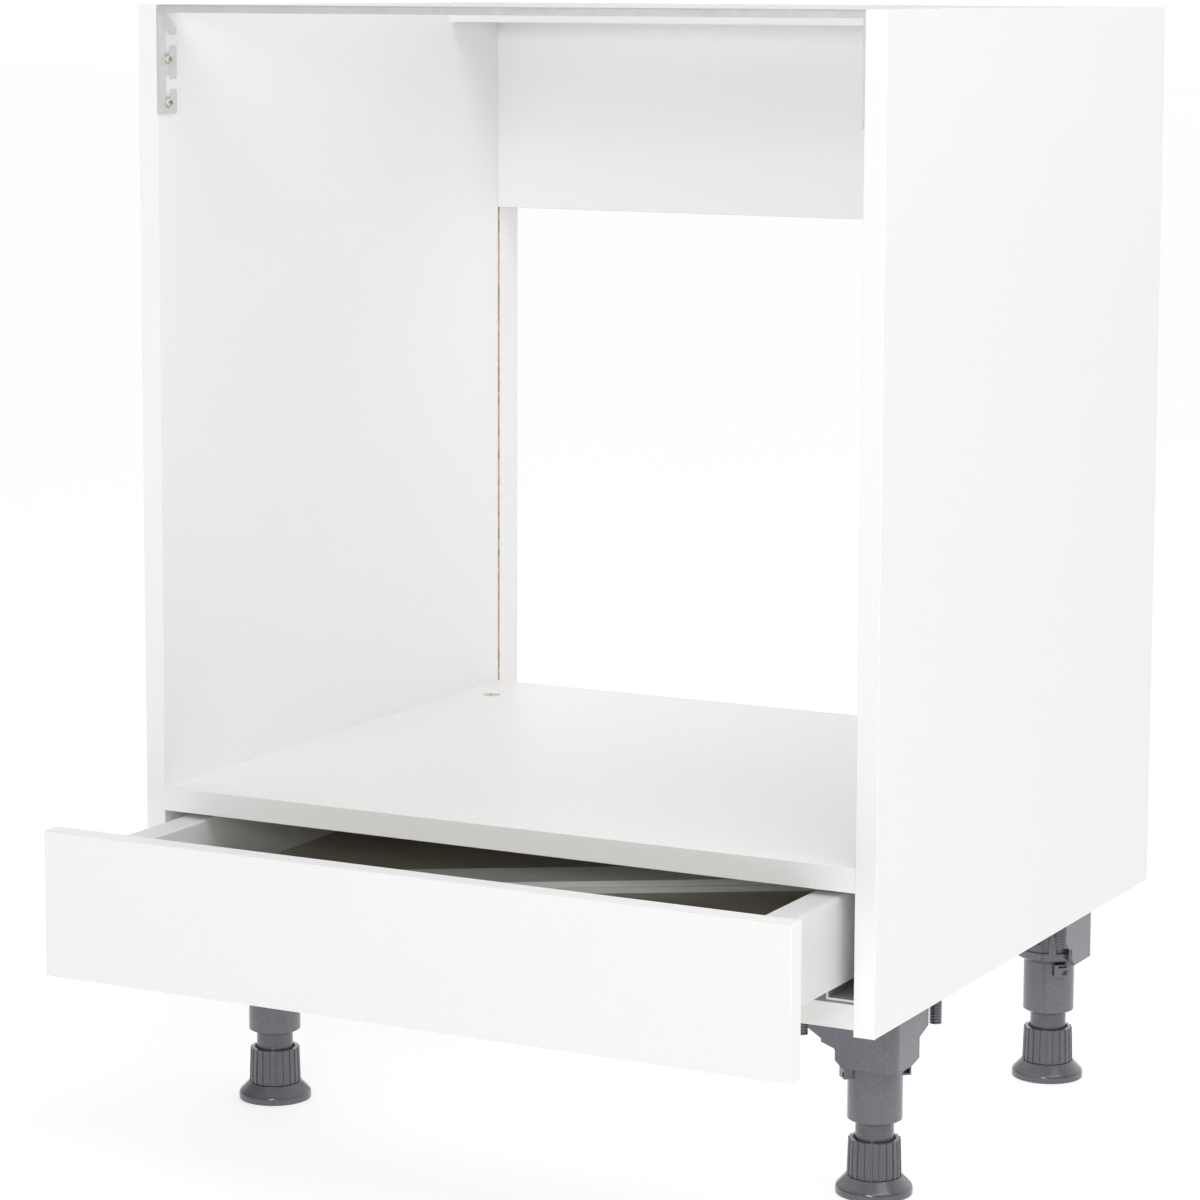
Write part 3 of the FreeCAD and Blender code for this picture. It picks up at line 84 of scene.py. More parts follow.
class CabinetSizes(bpy.types.PropertyGroup):
    """Small shapes that dress the cabinet's pieces."""

    board_chamfer: FloatProperty(
        name="Board chamfer", description="Softened edge of a board",
        default=0.0004, min=0.0, unit="LENGTH")
    sheet_chamfer: FloatProperty(
        name="Sheet chamfer", description="Softened edge of the rail's sheet",
        default=0.0002, min=0.0, unit="LENGTH")
    rail_sheet: FloatProperty(
        name="Rail sheet", description="Sheet of the front rail",
        default=0.0015, min=0.0, unit="LENGTH")
    rail_fold: FloatProperty(
        name="Rail fold", description="Outer radius of the fold between the rail and its lip",
        default=0.0013, min=0.0, unit="LENGTH")
    moulded_edge: FloatProperty(
        name="Moulded edge", description="Rounded edge of a moulded plastic piece",
        default=0.0003, min=0.0, unit="LENGTH")
    drawer_wall_width: FloatProperty(
        name="Drawer wall width", description="Hollow drawer side, outside to inside",
        default=0.025, min=0.0, unit="LENGTH")
    drawer_sheet: FloatProperty(
        name="Drawer sheet", description="Sheet of a drawer side",
        default=0.0012, min=0.0, unit="LENGTH")
    drawer_outer_fold: FloatProperty(
        name="Outer fold", description="Radius of a drawer side's upper outer edge",
        default=0.004, min=0.0, unit="LENGTH")
    drawer_inner_fold: FloatProperty(
        name="Inner fold", description="Radius of a drawer side's other folds",
        default=0.0016, min=0.0, unit="LENGTH")
    screw_head_radius: FloatProperty(
        name="Screw head", description="Radius of a rail screw's head",
        default=0.004, min=0.0, unit="LENGTH")
    screw_shank_radius: FloatProperty(
        name="Screw shank", description="Radius of a rail screw's shank",
        default=0.0025, min=0.0, unit="LENGTH")
    screw_head_height: FloatProperty(
        name="Screw head height", description="Height of a rail screw's head",
        default=0.0024, min=0.0, unit="LENGTH")
    screw_recess: FloatProperty(
        name="Screw recess", description="Reach of a rail screw's cross recess",
        default=0.0022, min=0.0, unit="LENGTH")
    screw_recess_width: FloatProperty(
        name="Screw recess width", description="Width of an arm of that recess",
        default=0.0012, min=0.0, unit="LENGTH")
    screw_recess_depth: FloatProperty(
        name="Screw recess depth", description="Depth of that recess",
        default=0.0014, min=0.0, unit="LENGTH")
    tube_radius: FloatProperty(
        name="Tube radius", description="Outside of a leg tube",
        default=0.020, min=0.0, unit="LENGTH")
    tube_wall: FloatProperty(
        name="Tube wall", description="Wall of a leg tube",
        default=0.0025, min=0.0, unit="LENGTH")
    tube_floor: FloatProperty(
        name="Tube floor", description="Thickness of a leg tube's threaded floor",
        default=0.006, min=0.0, unit="LENGTH")
    thread_room: FloatProperty(
        name="Thread room", description="Room round the stem in that floor",
        default=0.0003, min=0.0, unit="LENGTH")
    tube_chamfer: FloatProperty(
        name="Tube chamfer", description="Width of the slanted lower edge of a leg tube",
        default=0.005, min=0.0, unit="LENGTH")
    tube_chamfer_height: FloatProperty(
        name="Tube chamfer height", description="Height of that slanted edge",
        default=0.003, min=0.0, unit="LENGTH")
    lug_reach: FloatProperty(
        name="Lug reach", description="How far a snap lug stands out of its tube",
        default=0.0055, min=0.0, unit="LENGTH")
    lug_width: FloatProperty(
        name="Lug width", description="Width of a snap lug",
        default=0.011, min=0.0, unit="LENGTH")
    lug_height: FloatProperty(
        name="Lug height", description="Height of a snap lug",
        default=0.0097, min=0.0, unit="LENGTH")
    lug_skin: FloatProperty(
        name="Lug skin", description="Walls round the hollow of a snap lug",
        default=0.0014, min=0.0, unit="LENGTH")
    sleeve_radius: FloatProperty(
        name="Sleeve radius", description="Ribbed sleeve at its foot",
        default=0.0199, min=0.0, unit="LENGTH")
    sleeve_top_radius: FloatProperty(
        name="Sleeve top radius", description="Ribbed sleeve at its top",
        default=0.019, min=0.0, unit="LENGTH")
    sleeve_height: FloatProperty(
        name="Sleeve height", description="Ribbed sleeve, foot to top",
        default=0.027, min=0.0, unit="LENGTH")
    sleeve_rib: FloatProperty(
        name="Sleeve rib", description="Height of the ribs of a sleeve",
        default=0.0009, min=0.0, unit="LENGTH")
    sleeve_wall: FloatProperty(
        name="Sleeve wall", description="Wall round the recess in the top of a sleeve",
        default=0.0024, min=0.0, unit="LENGTH")
    sleeve_recess: FloatProperty(
        name="Sleeve recess", description="Depth of the recess in the top of a sleeve",
        default=0.002, min=0.0, unit="LENGTH")
    stem_radius: FloatProperty(
        name="Stem radius", description="Screw stem above the sleeve",
        default=0.014, min=0.0, unit="LENGTH")
    pivot_radius: FloatProperty(
        name="Pivot radius", description="Pivot under a sleeve, which turns in its disc",
        default=0.010, min=0.0, unit="LENGTH")
    pivot_room: FloatProperty(
        name="Pivot room", description="Room round the pivot in its socket",
        default=0.00008, min=0.0, unit="LENGTH")
    socket_depth: FloatProperty(
        name="Socket depth", description="Depth of the socket in the top of a disc",
        default=0.0043, min=0.0, unit="LENGTH")
    disc_gap: FloatProperty(
        name="Disc gap", description="Gap between a disc and its sleeve",
        default=0.0003, min=0.0, unit="LENGTH")
    disc_radius: FloatProperty(
        name="Disc radius", description="Foot disc at its rim",
        default=0.028, min=0.0, unit="LENGTH")
    disc_rim: FloatProperty(
        name="Disc rim", description="Height of the straight rim of a disc",
        default=0.0056, min=0.0, unit="LENGTH")
    disc_rim_round: FloatProperty(
        name="Disc rim round", description="Rounded upper edge of a disc's rim",
        default=0.0016, min=0.0, unit="LENGTH")
    disc_top_radius: FloatProperty(
        name="Disc top radius", description="Foot disc at the top of its cone",
        default=0.0205, min=0.0, unit="LENGTH")
    round_sides: IntProperty(
        name="Round sides", description="Flat sides that make up a round piece",
        default=96, min=24, max=256)


class CabinetColours(bpy.types.PropertyGroup):
    """Colours of the cabinet's finishes."""

    melamine: FloatVectorProperty(
        name="Melamine", description="White faced boards",
        default=(0.92, 0.92, 0.915), min=0.0, max=1.0, subtype="COLOR")
    drawer_board: FloatVectorProperty(
        name="Drawer board", description="Olive grey drawer bottom and back",
        default=(0.42, 0.395, 0.30), min=0.0, max=1.0, subtype="COLOR")
    edge_band: FloatVectorProperty(
        name="Edge band", description="White edge bands",
        default=(0.94, 0.94, 0.935), min=0.0, max=1.0, subtype="COLOR")
    chipboard: FloatVectorProperty(
        name="Chipboard", description="Raw chipboard in grooves and on rear edges",
        default=(0.80, 0.68, 0.53), min=0.0, max=1.0, subtype="COLOR")
    hardboard: FloatVectorProperty(
        name="Hardboard", description="Raw rear face of the back strip",
        default=(0.36, 0.22, 0.12), min=0.0, max=1.0, subtype="COLOR")
    galvanised: FloatVectorProperty(
        name="Galvanised steel", description="Rail, runners and angles",
        default=(0.72, 0.725, 0.72), min=0.0, max=1.0, subtype="COLOR")
    drawer_steel: FloatVectorProperty(
        name="Drawer steel", description="Powder-coated drawer sides",
        default=(0.78, 0.78, 0.79), min=0.0, max=1.0, subtype="COLOR")
    zinc: FloatVectorProperty(
        name="Zinc", description="Screws and cam fittings",
        default=(0.66, 0.62, 0.54), min=0.0, max=1.0, subtype="COLOR")
    plastic: FloatVectorProperty(
        name="Plastic", description="Moulded feet",
        default=(0.124, 0.117, 0.142), min=0.0, max=1.0, subtype="COLOR")
    beech: FloatVectorProperty(
        name="Beech", description="Dowels",
        default=(0.58, 0.40, 0.24), min=0.0, max=1.0, subtype="COLOR")


class CabinetStage(bpy.types.PropertyGroup):
    """Camera, light and floor."""

    camera_place: FloatVectorProperty(
        name="Camera place", description="Where the camera stands",
        default=(1.3400, -2.6030, 0.86565), subtype="TRANSLATION", unit="LENGTH")
    camera_turn: FloatProperty(
        name="Camera turn", description="Camera's turn round the upright",
        default=0.48256, subtype="ANGLE", unit="ROTATION")
    camera_tilt: FloatProperty(
        name="Camera tilt", description="Camera's tilt below the horizon",
        default=0.12748, subtype="ANGLE", unit="ROTATION")
    camera_roll: FloatProperty(
        name="Camera roll", description="Camera's roll round its own axis",
        default=0.00352, subtype="ANGLE", unit="ROTATION")
    lens: FloatProperty(
        name="Lens", description="Focal length in millimetres on a 36 mm sensor",
        default=116.63, min=1.0, subtype="DISTANCE_CAMERA")
    lens_shift: FloatProperty(
        name="Lens shift", description="Upright shift of the lens as a share of the frame",
        default=-0.1)
    surround: FloatProperty(
        name="Surround", description="Brightness of the white surround",
        default=0.12, min=0.0)
    surround_rear: FloatProperty(
        name="Rear surround", description="How much brighter the surround is behind the cabinet",
        default=1.15, min=0.0)
    surround_top: FloatProperty(
        name="Top surround", description="How much brighter the surround is overhead",
        default=0.4, min=0.0)
    aim_height: FloatProperty(
        name="Aim height", description="Height that the lights are aimed at",
        default=0.5, unit="LENGTH")
    key_place: FloatVectorProperty(
        name="Key light place", description="Where the large light stands",
        default=(2.2, -1.6, 3.4), subtype="TRANSLATION", unit="LENGTH")
    key_size: FloatVectorProperty(
        name="Key light size", description="Width and height of the large light",
        default=(3.2, 2.4), size=2, min=0.0, unit="LENGTH")
    key_light: FloatProperty(
        name="Key light", description="Power of the large light above and to the right",
        default=51.0, min=0.0, unit="POWER")
    front_place: FloatVectorProperty(
        name="Front light place", description="Where the lamp beside the camera stands",
        default=(0.8, -3.1, 1.2), subtype="TRANSLATION", unit="LENGTH")
    front_size: FloatVectorProperty(
        name="Front light size", description="Width and height of the lamp beside the camera",
        default=(0.7, 0.6), size=2, min=0.0, unit="LENGTH")
    front_light: FloatProperty(
        name="Front light", description="Power of the lamp beside the camera",
        default=24.5, min=0.0, unit="POWER")
    floor: FloatVectorProperty(
        name="Floor", description="Colour of the floor",
        default=(0.45, 0.45, 0.45), min=0.0, max=1.0, subtype="COLOR")
    floor_size: FloatProperty(
        name="Floor size", description="Length and width of the floor",
        default=60.0, min=0.0, unit="LENGTH")
    floor_gap: FloatProperty(
        name="Floor gap", description="Gap between the floor and the feet",
        default=0.0002, min=0.0, unit="LENGTH")
    floor_glow: FloatProperty(
        name="Floor glow", description="Light given off by the floor, lit from below",
        default=0.66, min=0.0)


class Value:
    """A number that varies over a surface; arithmetic on it adds Math nodes."""

    def __init__(self, nodes, socket):
        self.nodes = nodes
        self.socket = socket

    def math(self, operation, first, second):
        return self.nodes.add("ShaderNodeMath", {"operation": operation}, {0: first, 1: second})[0]

    def __add__(self, other):
        return self.math("ADD", self, other)

    def __radd__(self, other):
        return self.math("ADD", other, self)

    def __sub__(self, other):
        return self.math("SUBTRACT", self, other)

    def __rsub__(self, other):
        return self.math("SUBTRACT", other, self)

    def __mul__(self, other):
        return self.math("MULTIPLY", self, other)

    def __rmul__(self, other):
        return self.math("MULTIPLY", other, self)

    def __gt__(self, other):
        return self.math("GREATER_THAN", self, other)

    def __lt__(self, other):
        return self.math("LESS_THAN", self, other)

    def __abs__(self):
        return self.math("ABSOLUTE", self, 0.0)

    def either(self, other):
        return self.math("MAXIMUM", self, other)


class Outputs:
    """The outputs of one node, by name or number."""

    def __init__(self, nodes, node):
        self.nodes = nodes
        self.node = node

    def __getitem__(self, key):
        return Value(self.nodes, self.node.outputs[key])


class Nodes:
    """Adds nodes to one tree."""

    def __init__(self, tree):
        self.tree = tree

    def add(self, kind, settings=None, sockets=None):
        """Adds a node: its settings first, then the values or links of its sockets."""
        node = self.tree.nodes.new(kind)
        for name, setting in (settings or {}).items():
            if name == "stops":
                self.set_stops(node.color_ramp, setting)
            else:
                setattr(node, name, setting)
        for key, entry in (sockets or {}).items():
            if isinstance(entry, Value):
                self.tree.links.new(entry.socket, node.inputs[key])
            else:
                node.inputs[key].default_value = entry
        return Outputs(self, node)

    @staticmethod
    def set_stops(ramp, stops):
        while len(ramp.elements) < len(stops):
            ramp.elements.new(1.0)
        for element, (position, colour) in zip(ramp.elements, stops):
            element.position = position
            element.color = colour


class Finish(Nodes):
    """One procedural surface on a single shader."""

    def __init__(self, name, constants):
        self.material = bpy.data.materials.new(f"{name}_finish")
        self.material.use_nodes = True
        super().__init__(self.material.node_tree)
        self.tree.nodes.clear()
        self.shader = self.tree.nodes.new("ShaderNodeBsdfPrincipled")
        for socket, number in constants.items():
            self.shader.inputs[socket].default_value = number
        output = self.tree.nodes.new("ShaderNodeOutputMaterial")
        self.tree.links.new(self.shader.outputs[0], output.inputs[0])
        coordinates = self.add("ShaderNodeTexCoord")
        self.place = coordinates["Object"]
        spot = self.add("ShaderNodeSeparateXYZ", sockets={0: self.place})
        self.x, self.y, self.z = spot["X"], spot["Y"], spot["Z"]
        facing = self.add("ShaderNodeSeparateXYZ", sockets={0: coordinates["Normal"]})
        self.facing_y, self.facing_z = facing["Y"], facing["Z"]

    def stretched(self, scale):
        """The surface's place, stretched along its axes."""
        return self.add("ShaderNodeMapping", {"vector_type": "POINT"},
                        {"Vector": self.place, "Scale": scale})["Vector"]

    def noise(self, scale, detail=2.0, stretch=None):
        vector = self.place if stretch is None else self.stretched(stretch)
        return self.add("ShaderNodeTexNoise", {"noise_dimensions": "3D"},
                        {"Vector": vector, "Scale": scale, "Detail": detail})["Fac"]

    def cells(self, scale, stretch):
        """A number of its own for each of many small cells."""
        colour = self.add("ShaderNodeTexVoronoi", {"feature": "F1"},
                          {"Vector": self.stretched(stretch), "Scale": scale})["Color"]
        return self.add("ShaderNodeSeparateColor", None, {0: colour})["Red"]

    def spread(self, value, low, high):
        """The value's middle range drawn out over 0 to 1."""
        return self.add("ShaderNodeMapRange", {"clamp": True},
                        {"Value": value, "From Min": low, "From Max": high})["Result"]

    def blend(self, factor, first, second):
        return self.add("ShaderNodeMix", {"data_type": "RGBA"}, {0: factor, 6: first, 7: second})[2]

    def ramp(self, value, stops):
        return self.add("ShaderNodeValToRGB", {"stops": stops}, {0: value})["Color"]

    def bump(self, height, distance):
        return self.add("ShaderNodeBump", None,
                        {"Height": height, "Distance": distance, "Strength": 1.0})["Normal"]

    def lay(self, **surfaces):
        """Links what varies over the surface to the shader."""
        sockets = {"colour": "Base Color", "roughness": "Roughness", "normal": "Normal"}
        for name, value in surfaces.items():
            self.tree.links.new(value.socket, self.shader.inputs[sockets[name]])
        return self.material


def tint(colour, share=1.0):
    """A colour made lighter or darker, as a shader takes it."""
    return tuple(min(1.0, part * share) for part in colour) + (1.0,)


def chipboard_on(finish, colours):
    """Colour and relief of raw chipboard: pressed chips of several browns."""
    shade = finish.cells(420.0, (1.0, 0.45, 0.45))
    dust = finish.noise(1500.0, 3.0)
    colour = finish.ramp(shade * 0.8 + dust * 0.3, [
        (0.10, tint(colours.chipboard, 0.72)), (0.45, tint(colours.chipboard, 0.95)),
        (0.75, tint(colours.chipboard, 1.08)), (1.0, tint(colours.chipboard, 1.18))])
    return colour, shade * 0.6 + dust * 0.4


def raw_places(finish):
    """Where a carcass board is raw: in the side panels' groove, at the rear and under the sides."""
    groove_room, outer_skin, square_on = 0.0004, 0.004, 0.7
    strip_low, strip_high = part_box("back_strip")
    panel_low, panel_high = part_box("right_side_panel")
    across = abs(finish.x)
    in_groove = (finish.y > strip_low.y - groove_room) * (finish.y < strip_high.y + groove_room)
    in_groove = in_groove * (across > panel_low.x + HAIR) * (across < panel_high.x - outer_skin)
    rear = finish.facing_y > square_on
    under = (finish.facing_z < -square_on) * (across > panel_low.x - HAIR)
    return in_groove.either(rear).either(under)


def faced_board(name, colours, face, raw_edges):
    """Melamine with a fine pearl; a carcass board shows its chips where it is raw."""
    finish = Finish(name, {"Specular IOR Level": 0.45})
    cloud = finish.noise(5.0, 3.0)
    pearl = finish.noise(1100.0, 2.0)
    fleck = finish.spread(finish.noise(260.0, 4.0), 0.35, 0.65)
    colour = finish.blend(cloud * 0.7 + fleck * 0.3, tint(face, 0.975), tint(face, 1.015))
    roughness = 0.30 + cloud * 0.10 + pearl * 0.08
    height = pearl * 0.7 + fleck * 0.3
    if raw_edges:
        raw = raw_places(finish)
        chips, relief = chipboard_on(finish, colours)
        colour = finish.blend(raw, colour, chips)
        roughness = roughness + raw * 0.4
        height = height * (1 - raw) + relief * raw * 7.0
    return finish.lay(colour=colour, roughness=roughness, normal=finish.bump(height, 0.000018))


def band_finish(colours):
    """Edge band: a satin plastic strip with a faint drawn grain."""
    finish = Finish("white_edge_band", {"Specular IOR Level": 0.5})
    drawn = finish.noise(300.0, 3.0, stretch=(1.0, 1.0, 0.06))
    pearl = finish.noise(1400.0, 2.0)
    colour = finish.blend(drawn, tint(colours.edge_band, 0.985), tint(colours.edge_band, 1.01))
    return finish.lay(colour=colour, roughness=0.28 + drawn * 0.1,
                      normal=finish.bump(pearl * 0.6 + drawn * 0.4, 0.000012))


def hardboard_finish(colours):
    """Hardboard: lacquered white in front, raw brown fibre behind and on its edges."""
    finish = Finish("white_hardboard", {"Specular IOR Level": 0.4})
    cloud = finish.noise(8.0, 3.0)
    pearl = finish.noise(900.0, 2.0)
    white = finish.blend(cloud, tint(colours.melamine, 0.965), tint(colours.melamine, 1.0))
    fibre = finish.noise(700.0, 5.0, stretch=(0.35, 1.0, 1.0))
    brown = finish.ramp(fibre, [(0.25, tint(colours.hardboard, 0.7)), (0.55, tint(colours.hardboard)),
                                (0.8, tint(colours.hardboard, 1.35))])
    front = finish.facing_y < -0.5
    colour = finish.blend(front, brown, white)
    height = pearl * front + fibre * (1 - front) * 5.0
    return finish.lay(colour=colour, roughness=0.75 - front * 0.4 + cloud * 0.08,
                      normal=finish.bump(height, 0.00002))


def galvanised_finish(colours):
    """Galvanised sheet: soft spangle, faint rolling lines."""
    finish = Finish("galvanised_steel", {"Metallic": 0.6, "Specular IOR Level": 0.5})
    facet = finish.cells(170.0, (1.0, 1.0, 0.8))
    rolled = finish.noise(420.0, 3.0, stretch=(0.04, 1.0, 1.0))
    cloud = finish.noise(14.0, 3.0)
    colour = finish.blend(facet * 0.6 + cloud * 0.4, tint(colours.galvanised, 0.96),
                          tint(colours.galvanised, 1.04))
    return finish.lay(colour=colour, roughness=0.36 + facet * 0.10 + cloud * 0.08,
                      normal=finish.bump(rolled * 0.8 + facet * 0.2, 0.000012))


def drawer_steel_finish(colours):
    """Light grey powder coat with its fine orange peel."""
    finish = Finish("grey_drawer_steel", {"Specular IOR Level": 0.5})
    peel = finish.noise(900.0, 2.0)
    grit = finish.noise(3200.0, 1.0)
    cloud = finish.noise(9.0, 3.0)
    colour = finish.blend(cloud * 0.6 + grit * 0.4, tint(colours.drawer_steel, 0.965),
                          tint(colours.drawer_steel, 1.03))
    return finish.lay(colour=colour, roughness=0.38 + cloud * 0.08 + grit * 0.06,
                      normal=finish.bump(peel * 0.8 + grit * 0.2, 0.000025))


def zinc_finish(colours):
    """Zinc plating with a warm passivated cast."""
    finish = Finish("zinc_fittings", {"Metallic": 1.0, "Specular IOR Level": 0.5})
    turned = finish.noise(1800.0, 3.0, stretch=(1.0, 0.3, 1.0))
    cast = finish.noise(260.0, 2.0)
    colour = finish.blend(cast, tint(colours.zinc, 0.85), tint(colours.zinc, 1.18))
    return finish.lay(colour=colour, roughness=0.16 + turned * 0.12,
                      normal=finish.bump(turned, 0.00001))


def plastic_finish(name, colours, shade):
    """Dark moulded plastic: spark grain with painted glints, flow clouds, scuffs and a little floor dust on
    the discs.
    """
    finish = Finish(name, {"Specular IOR Level": 0.9})
    # A shade share below one makes a darker copy of the plastic, painted shade for the sleeves and discs
    plastic = tint(colours.plastic, shade)[:3]
    grain = finish.noise(2200.0, 2.0)
    # Spark grain specks: lightened in the colour as painted glints, real relief in the bump
    speckle_and_glint = finish.spread(finish.noise(850.0, 3.0), 0.54, 0.70)
    flow = finish.noise(45.0, 4.0, stretch=(1.0, 1.0, 0.5))
    scuff = finish.spread(finish.noise(160.0, 5.0), 0.60, 0.78)
    dust = finish.spread(finish.z, 0.016, 0.0) * finish.spread(finish.noise(90.0, 4.0), 0.45, 0.75)
    base = finish.blend(flow, tint(plastic, 0.85), tint(plastic, 1.15))
    # Painted glints of the specks, real scuffs and floor dust lighten the base colour
    worn_and_glints = finish.blend(speckle_and_glint * 0.35 + scuff * 0.12 + dust * 0.1, base, tint(plastic, 2.2))
    return finish.lay(colour=worn_and_glints, roughness=0.14 + grain * 0.06 + scuff * 0.10 + dust * 0.1,
                      normal=finish.bump(grain + speckle_and_glint * 0.5, 0.00003))


def beech_finish(colours):
    """Beech dowels: grain along their length with short rays."""
    finish = Finish("beech", {"Specular IOR Level": 0.3})
    grain = finish.noise(700.0, 4.0, stretch=(0.06, 1.0, 1.0))
    rays = finish.spread(finish.noise(900.0, 2.0, stretch=(0.15, 1.0, 1.0)), 0.55, 0.7)
    wood = finish.blend(grain, tint(colours.beech, 0.8), tint(colours.beech, 1.15))
    colour = finish.blend(rays * 0.5, wood, tint(colours.beech, 0.6))
    return finish.lay(colour=colour, roughness=0.6 + grain * 0.15, normal=finish.bump(grain, 0.00005))


MAKERS = {
    "carcass_board": lambda colours: faced_board("carcass_board", colours, colours.melamine, True),
    "front_board": lambda colours: faced_board("front_board", colours, colours.melamine, False),
    "drawer_board": lambda colours: faced_board("drawer_board", colours, colours.drawer_board, False),
    "white_edge_band": band_finish,
    "white_hardboard": hardboard_finish,
    "galvanised_steel": galvanised_finish,
    "grey_drawer_steel": drawer_steel_finish,
    "zinc_fittings": zinc_finish,
    "leg_plastic": lambda colours: plastic_finish("leg_plastic", colours, 1.0),
    # Sleeves and discs take a darker copy of the same plastic: painted shade under the cabinet
    "shaded_foot_plastic": lambda colours: plastic_finish("shaded_foot_plastic", colours, 0.72),
    "beech": beech_finish,
}


def finish_named(name):
    """The finish of that name, made the first time it is asked for."""
    made = bpy.data.materials.get(f"{name}_finish")
    if made is None:
        made = MAKERS[name](bpy.context.scene.cabinet_colours)
    return made


def dress(node, finish):
    """Gives a CAD piece its finish."""
    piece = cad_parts[node]
    if not piece.material_slots:
        piece.data.materials.append(None)
    for slot in piece.material_slots:
        slot.material = finish_named(finish)


def let_go():
    """Leaves edit mode with nothing selected."""
    if bpy.context.mode != "OBJECT":
        bpy.ops.object.mode_set(mode="OBJECT")
    bpy.ops.object.select_all(action="DESELECT")


def take(piece):
    """Selects one piece alone."""
    let_go()
    piece.select_set(True)
    bpy.context.view_layer.objects.active = piece


@contextlib.contextmanager
def editing(piece):
    """Opens a piece in edit mode for the length of a block."""
    take(piece)
    bpy.ops.object.mode_set(mode="EDIT")
    yield
    bpy.ops.object.mode_set(mode="OBJECT")


def pick(kind, wanted):
    """Selects the faces, edges or points in hand that pass the test."""
    bpy.ops.mesh.select_mode(type=kind)
    bpy.ops.mesh.select_all(action="DESELECT")
    data = bpy.context.edit_object.data
    mesh = bmesh.from_edit_mesh(data)
    mesh.normal_update()
    parts = {"FACE": mesh.faces, "EDGE": mesh.edges, "VERT": mesh.verts}[kind]
    chosen = [part for part in parts if wanted(part)]
    for part in chosen:
        part.select_set(True)
    mesh.select_flush_mode()
    bmesh.update_edit_mesh(data)
    if not chosen:
        raise ValueError(f"nothing to pick on {bpy.context.edit_object.name}")


def near(value, target):
    return abs(value - target) < HAIR


def middle(edge):
    return (edge.verts[0].co + edge.verts[1].co) / 2


def along(edge, axis):
    """True for an edge that runs along one axis."""
    way = (edge.verts[1].co - edge.verts[0].co).normalized()
    return abs(way[axis]) > SAME_WAY


def faces_up(face):
    return face.normal.z > SAME_WAY


def faces_down(face):
    return face.normal.z < -SAME_WAY


def sharp(edge):
    return len(edge.link_faces) == 2 and edge.calc_face_angle() > math.radians(SHARP_TURN)


def sharp_at(level):
    """A test for the sharp edges at one height."""
    return lambda edge: near(middle(edge).z, level) and sharp(edge)


def centre_of(node):
    low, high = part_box(node)
    return (low + high) / 2


def settle(name):
    """Names the new piece and moves its place into its mesh."""
    piece = bpy.context.active_object
    piece.name = name
    piece.data.name = name
    bpy.ops.object.transform_apply(location=True, rotation=True, scale=True)
    return piece


def start_box(name, low, high):
    let_go()
    low, high = Vector(low), Vector(high)
    bpy.ops.mesh.primitive_cube_add(size=1.0, location=(low + high) / 2, scale=high - low)
    return settle(name)


def start_round(name, centre, radius, low, high, sides):
    """An upright cylinder between two heights."""
    let_go()
    place = (centre[0], centre[1], (low + high) / 2)
    bpy.ops.mesh.primitive_cylinder_add(vertices=sides, radius=radius, depth=high - low, location=place)
    return settle(name)


def push_out(way):
    bpy.ops.mesh.extrude_region_move(TRANSFORM_OT_translate={"value": way})


def widen(share, centre):
    """Scales what is selected about an upright axis."""
    bpy.ops.transform.resize(value=(share, share, 1.0), center_override=(centre[0], centre[1], 0.0))


def soften(width, wanted=sharp, segments=2):
    """Rounds the edges that pass the test."""
    pick("EDGE", wanted)
    bpy.ops.mesh.bevel(offset=width, segments=segments, affect="EDGES", clamp_overlap=True)


def apply_modifier(piece, kind, **settings):
    take(piece)
    modifier = piece.modifiers.new(kind.lower(), kind)
    for name, setting in settings.items():
        setattr(modifier, name, setting)
    bpy.ops.object.modifier_apply(modifier=modifier.name)


def round_edges(piece, width, turn):
    """Rounds a moulding's edges that turn by more than that many degrees."""
    apply_modifier(piece, "BEVEL", width=width, segments=2, limit_method="ANGLE",
                   angle_limit=math.radians(turn), use_clamp_overlap=True)


def clear_away(piece):
    take(piece)
    bpy.ops.object.delete()


def carve(piece, cutter, operation="DIFFERENCE"):
    """Cuts a piece with another, or joins them, and clears the other away."""
    apply_modifier(piece, "BOOLEAN", operation=operation, object=cutter, solver="EXACT")
    clear_away(cutter)


def face_outwards(piece):
    with editing(piece):
        bpy.ops.mesh.select_all(action="SELECT")
        bpy.ops.mesh.remove_doubles(threshold=WELD)
        bpy.ops.mesh.normals_make_consistent(inside=False)


def copy_of(piece, name):
    """A copy with a mesh of its own."""
    take(piece)
    bpy.ops.object.duplicate(linked=False)
    copy = bpy.context.active_object
    copy.name = name
    copy.data.name = name
    return copy


def moved_copy(piece, name, shift, turn, centre):
    """A copy turned round an upright axis and then moved, its place kept in its mesh."""
    copy = copy_of(piece, name)
    around = Matrix.Translation(centre) @ Matrix.Rotation(turn, 4, "Z") @ Matrix.Translation(-centre)
    copy.matrix_world = Matrix.Translation(shift) @ around
    return settle(name)


def to_corners(pattern, part, ending, turns=None):
    """Copies a pattern that stands at the front right to each corner, and clears it away."""
    home = centre_of(f"{part}_front_right")
    copies = {}
    for corner in CORNERS:
        node = f"{part}_{corner}"
        turn = math.radians(turns[corner]) if turns else 0.0
        copies[corner] = moved_copy(pattern, f"{node}_{ending}", centre_of(node) - home, turn, home)
    clear_away(pattern)
    return copies


def mirrored_copy(piece, name):
    """A copy on the other side of the middle plane."""
    copy = copy_of(piece, name)
    copy.scale.x = -1.0
    settle(name)
    face_outwards(copy)
    return copy


def cad_copy(node, name):
    """A merged copy of a CAD piece, its flat faces made whole."""
    piece = bpy.data.objects.new(name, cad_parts[node].data.copy())
    bpy.context.collection.objects.link(piece)
    with editing(piece):
        bpy.ops.mesh.customdata_custom_splitnormals_clear()
        bpy.ops.mesh.select_all(action="SELECT")
        bpy.ops.mesh.remove_doubles(threshold=WELD)
        bpy.ops.mesh.dissolve_limited(angle_limit=math.radians(FLAT_TURN))
    return piece


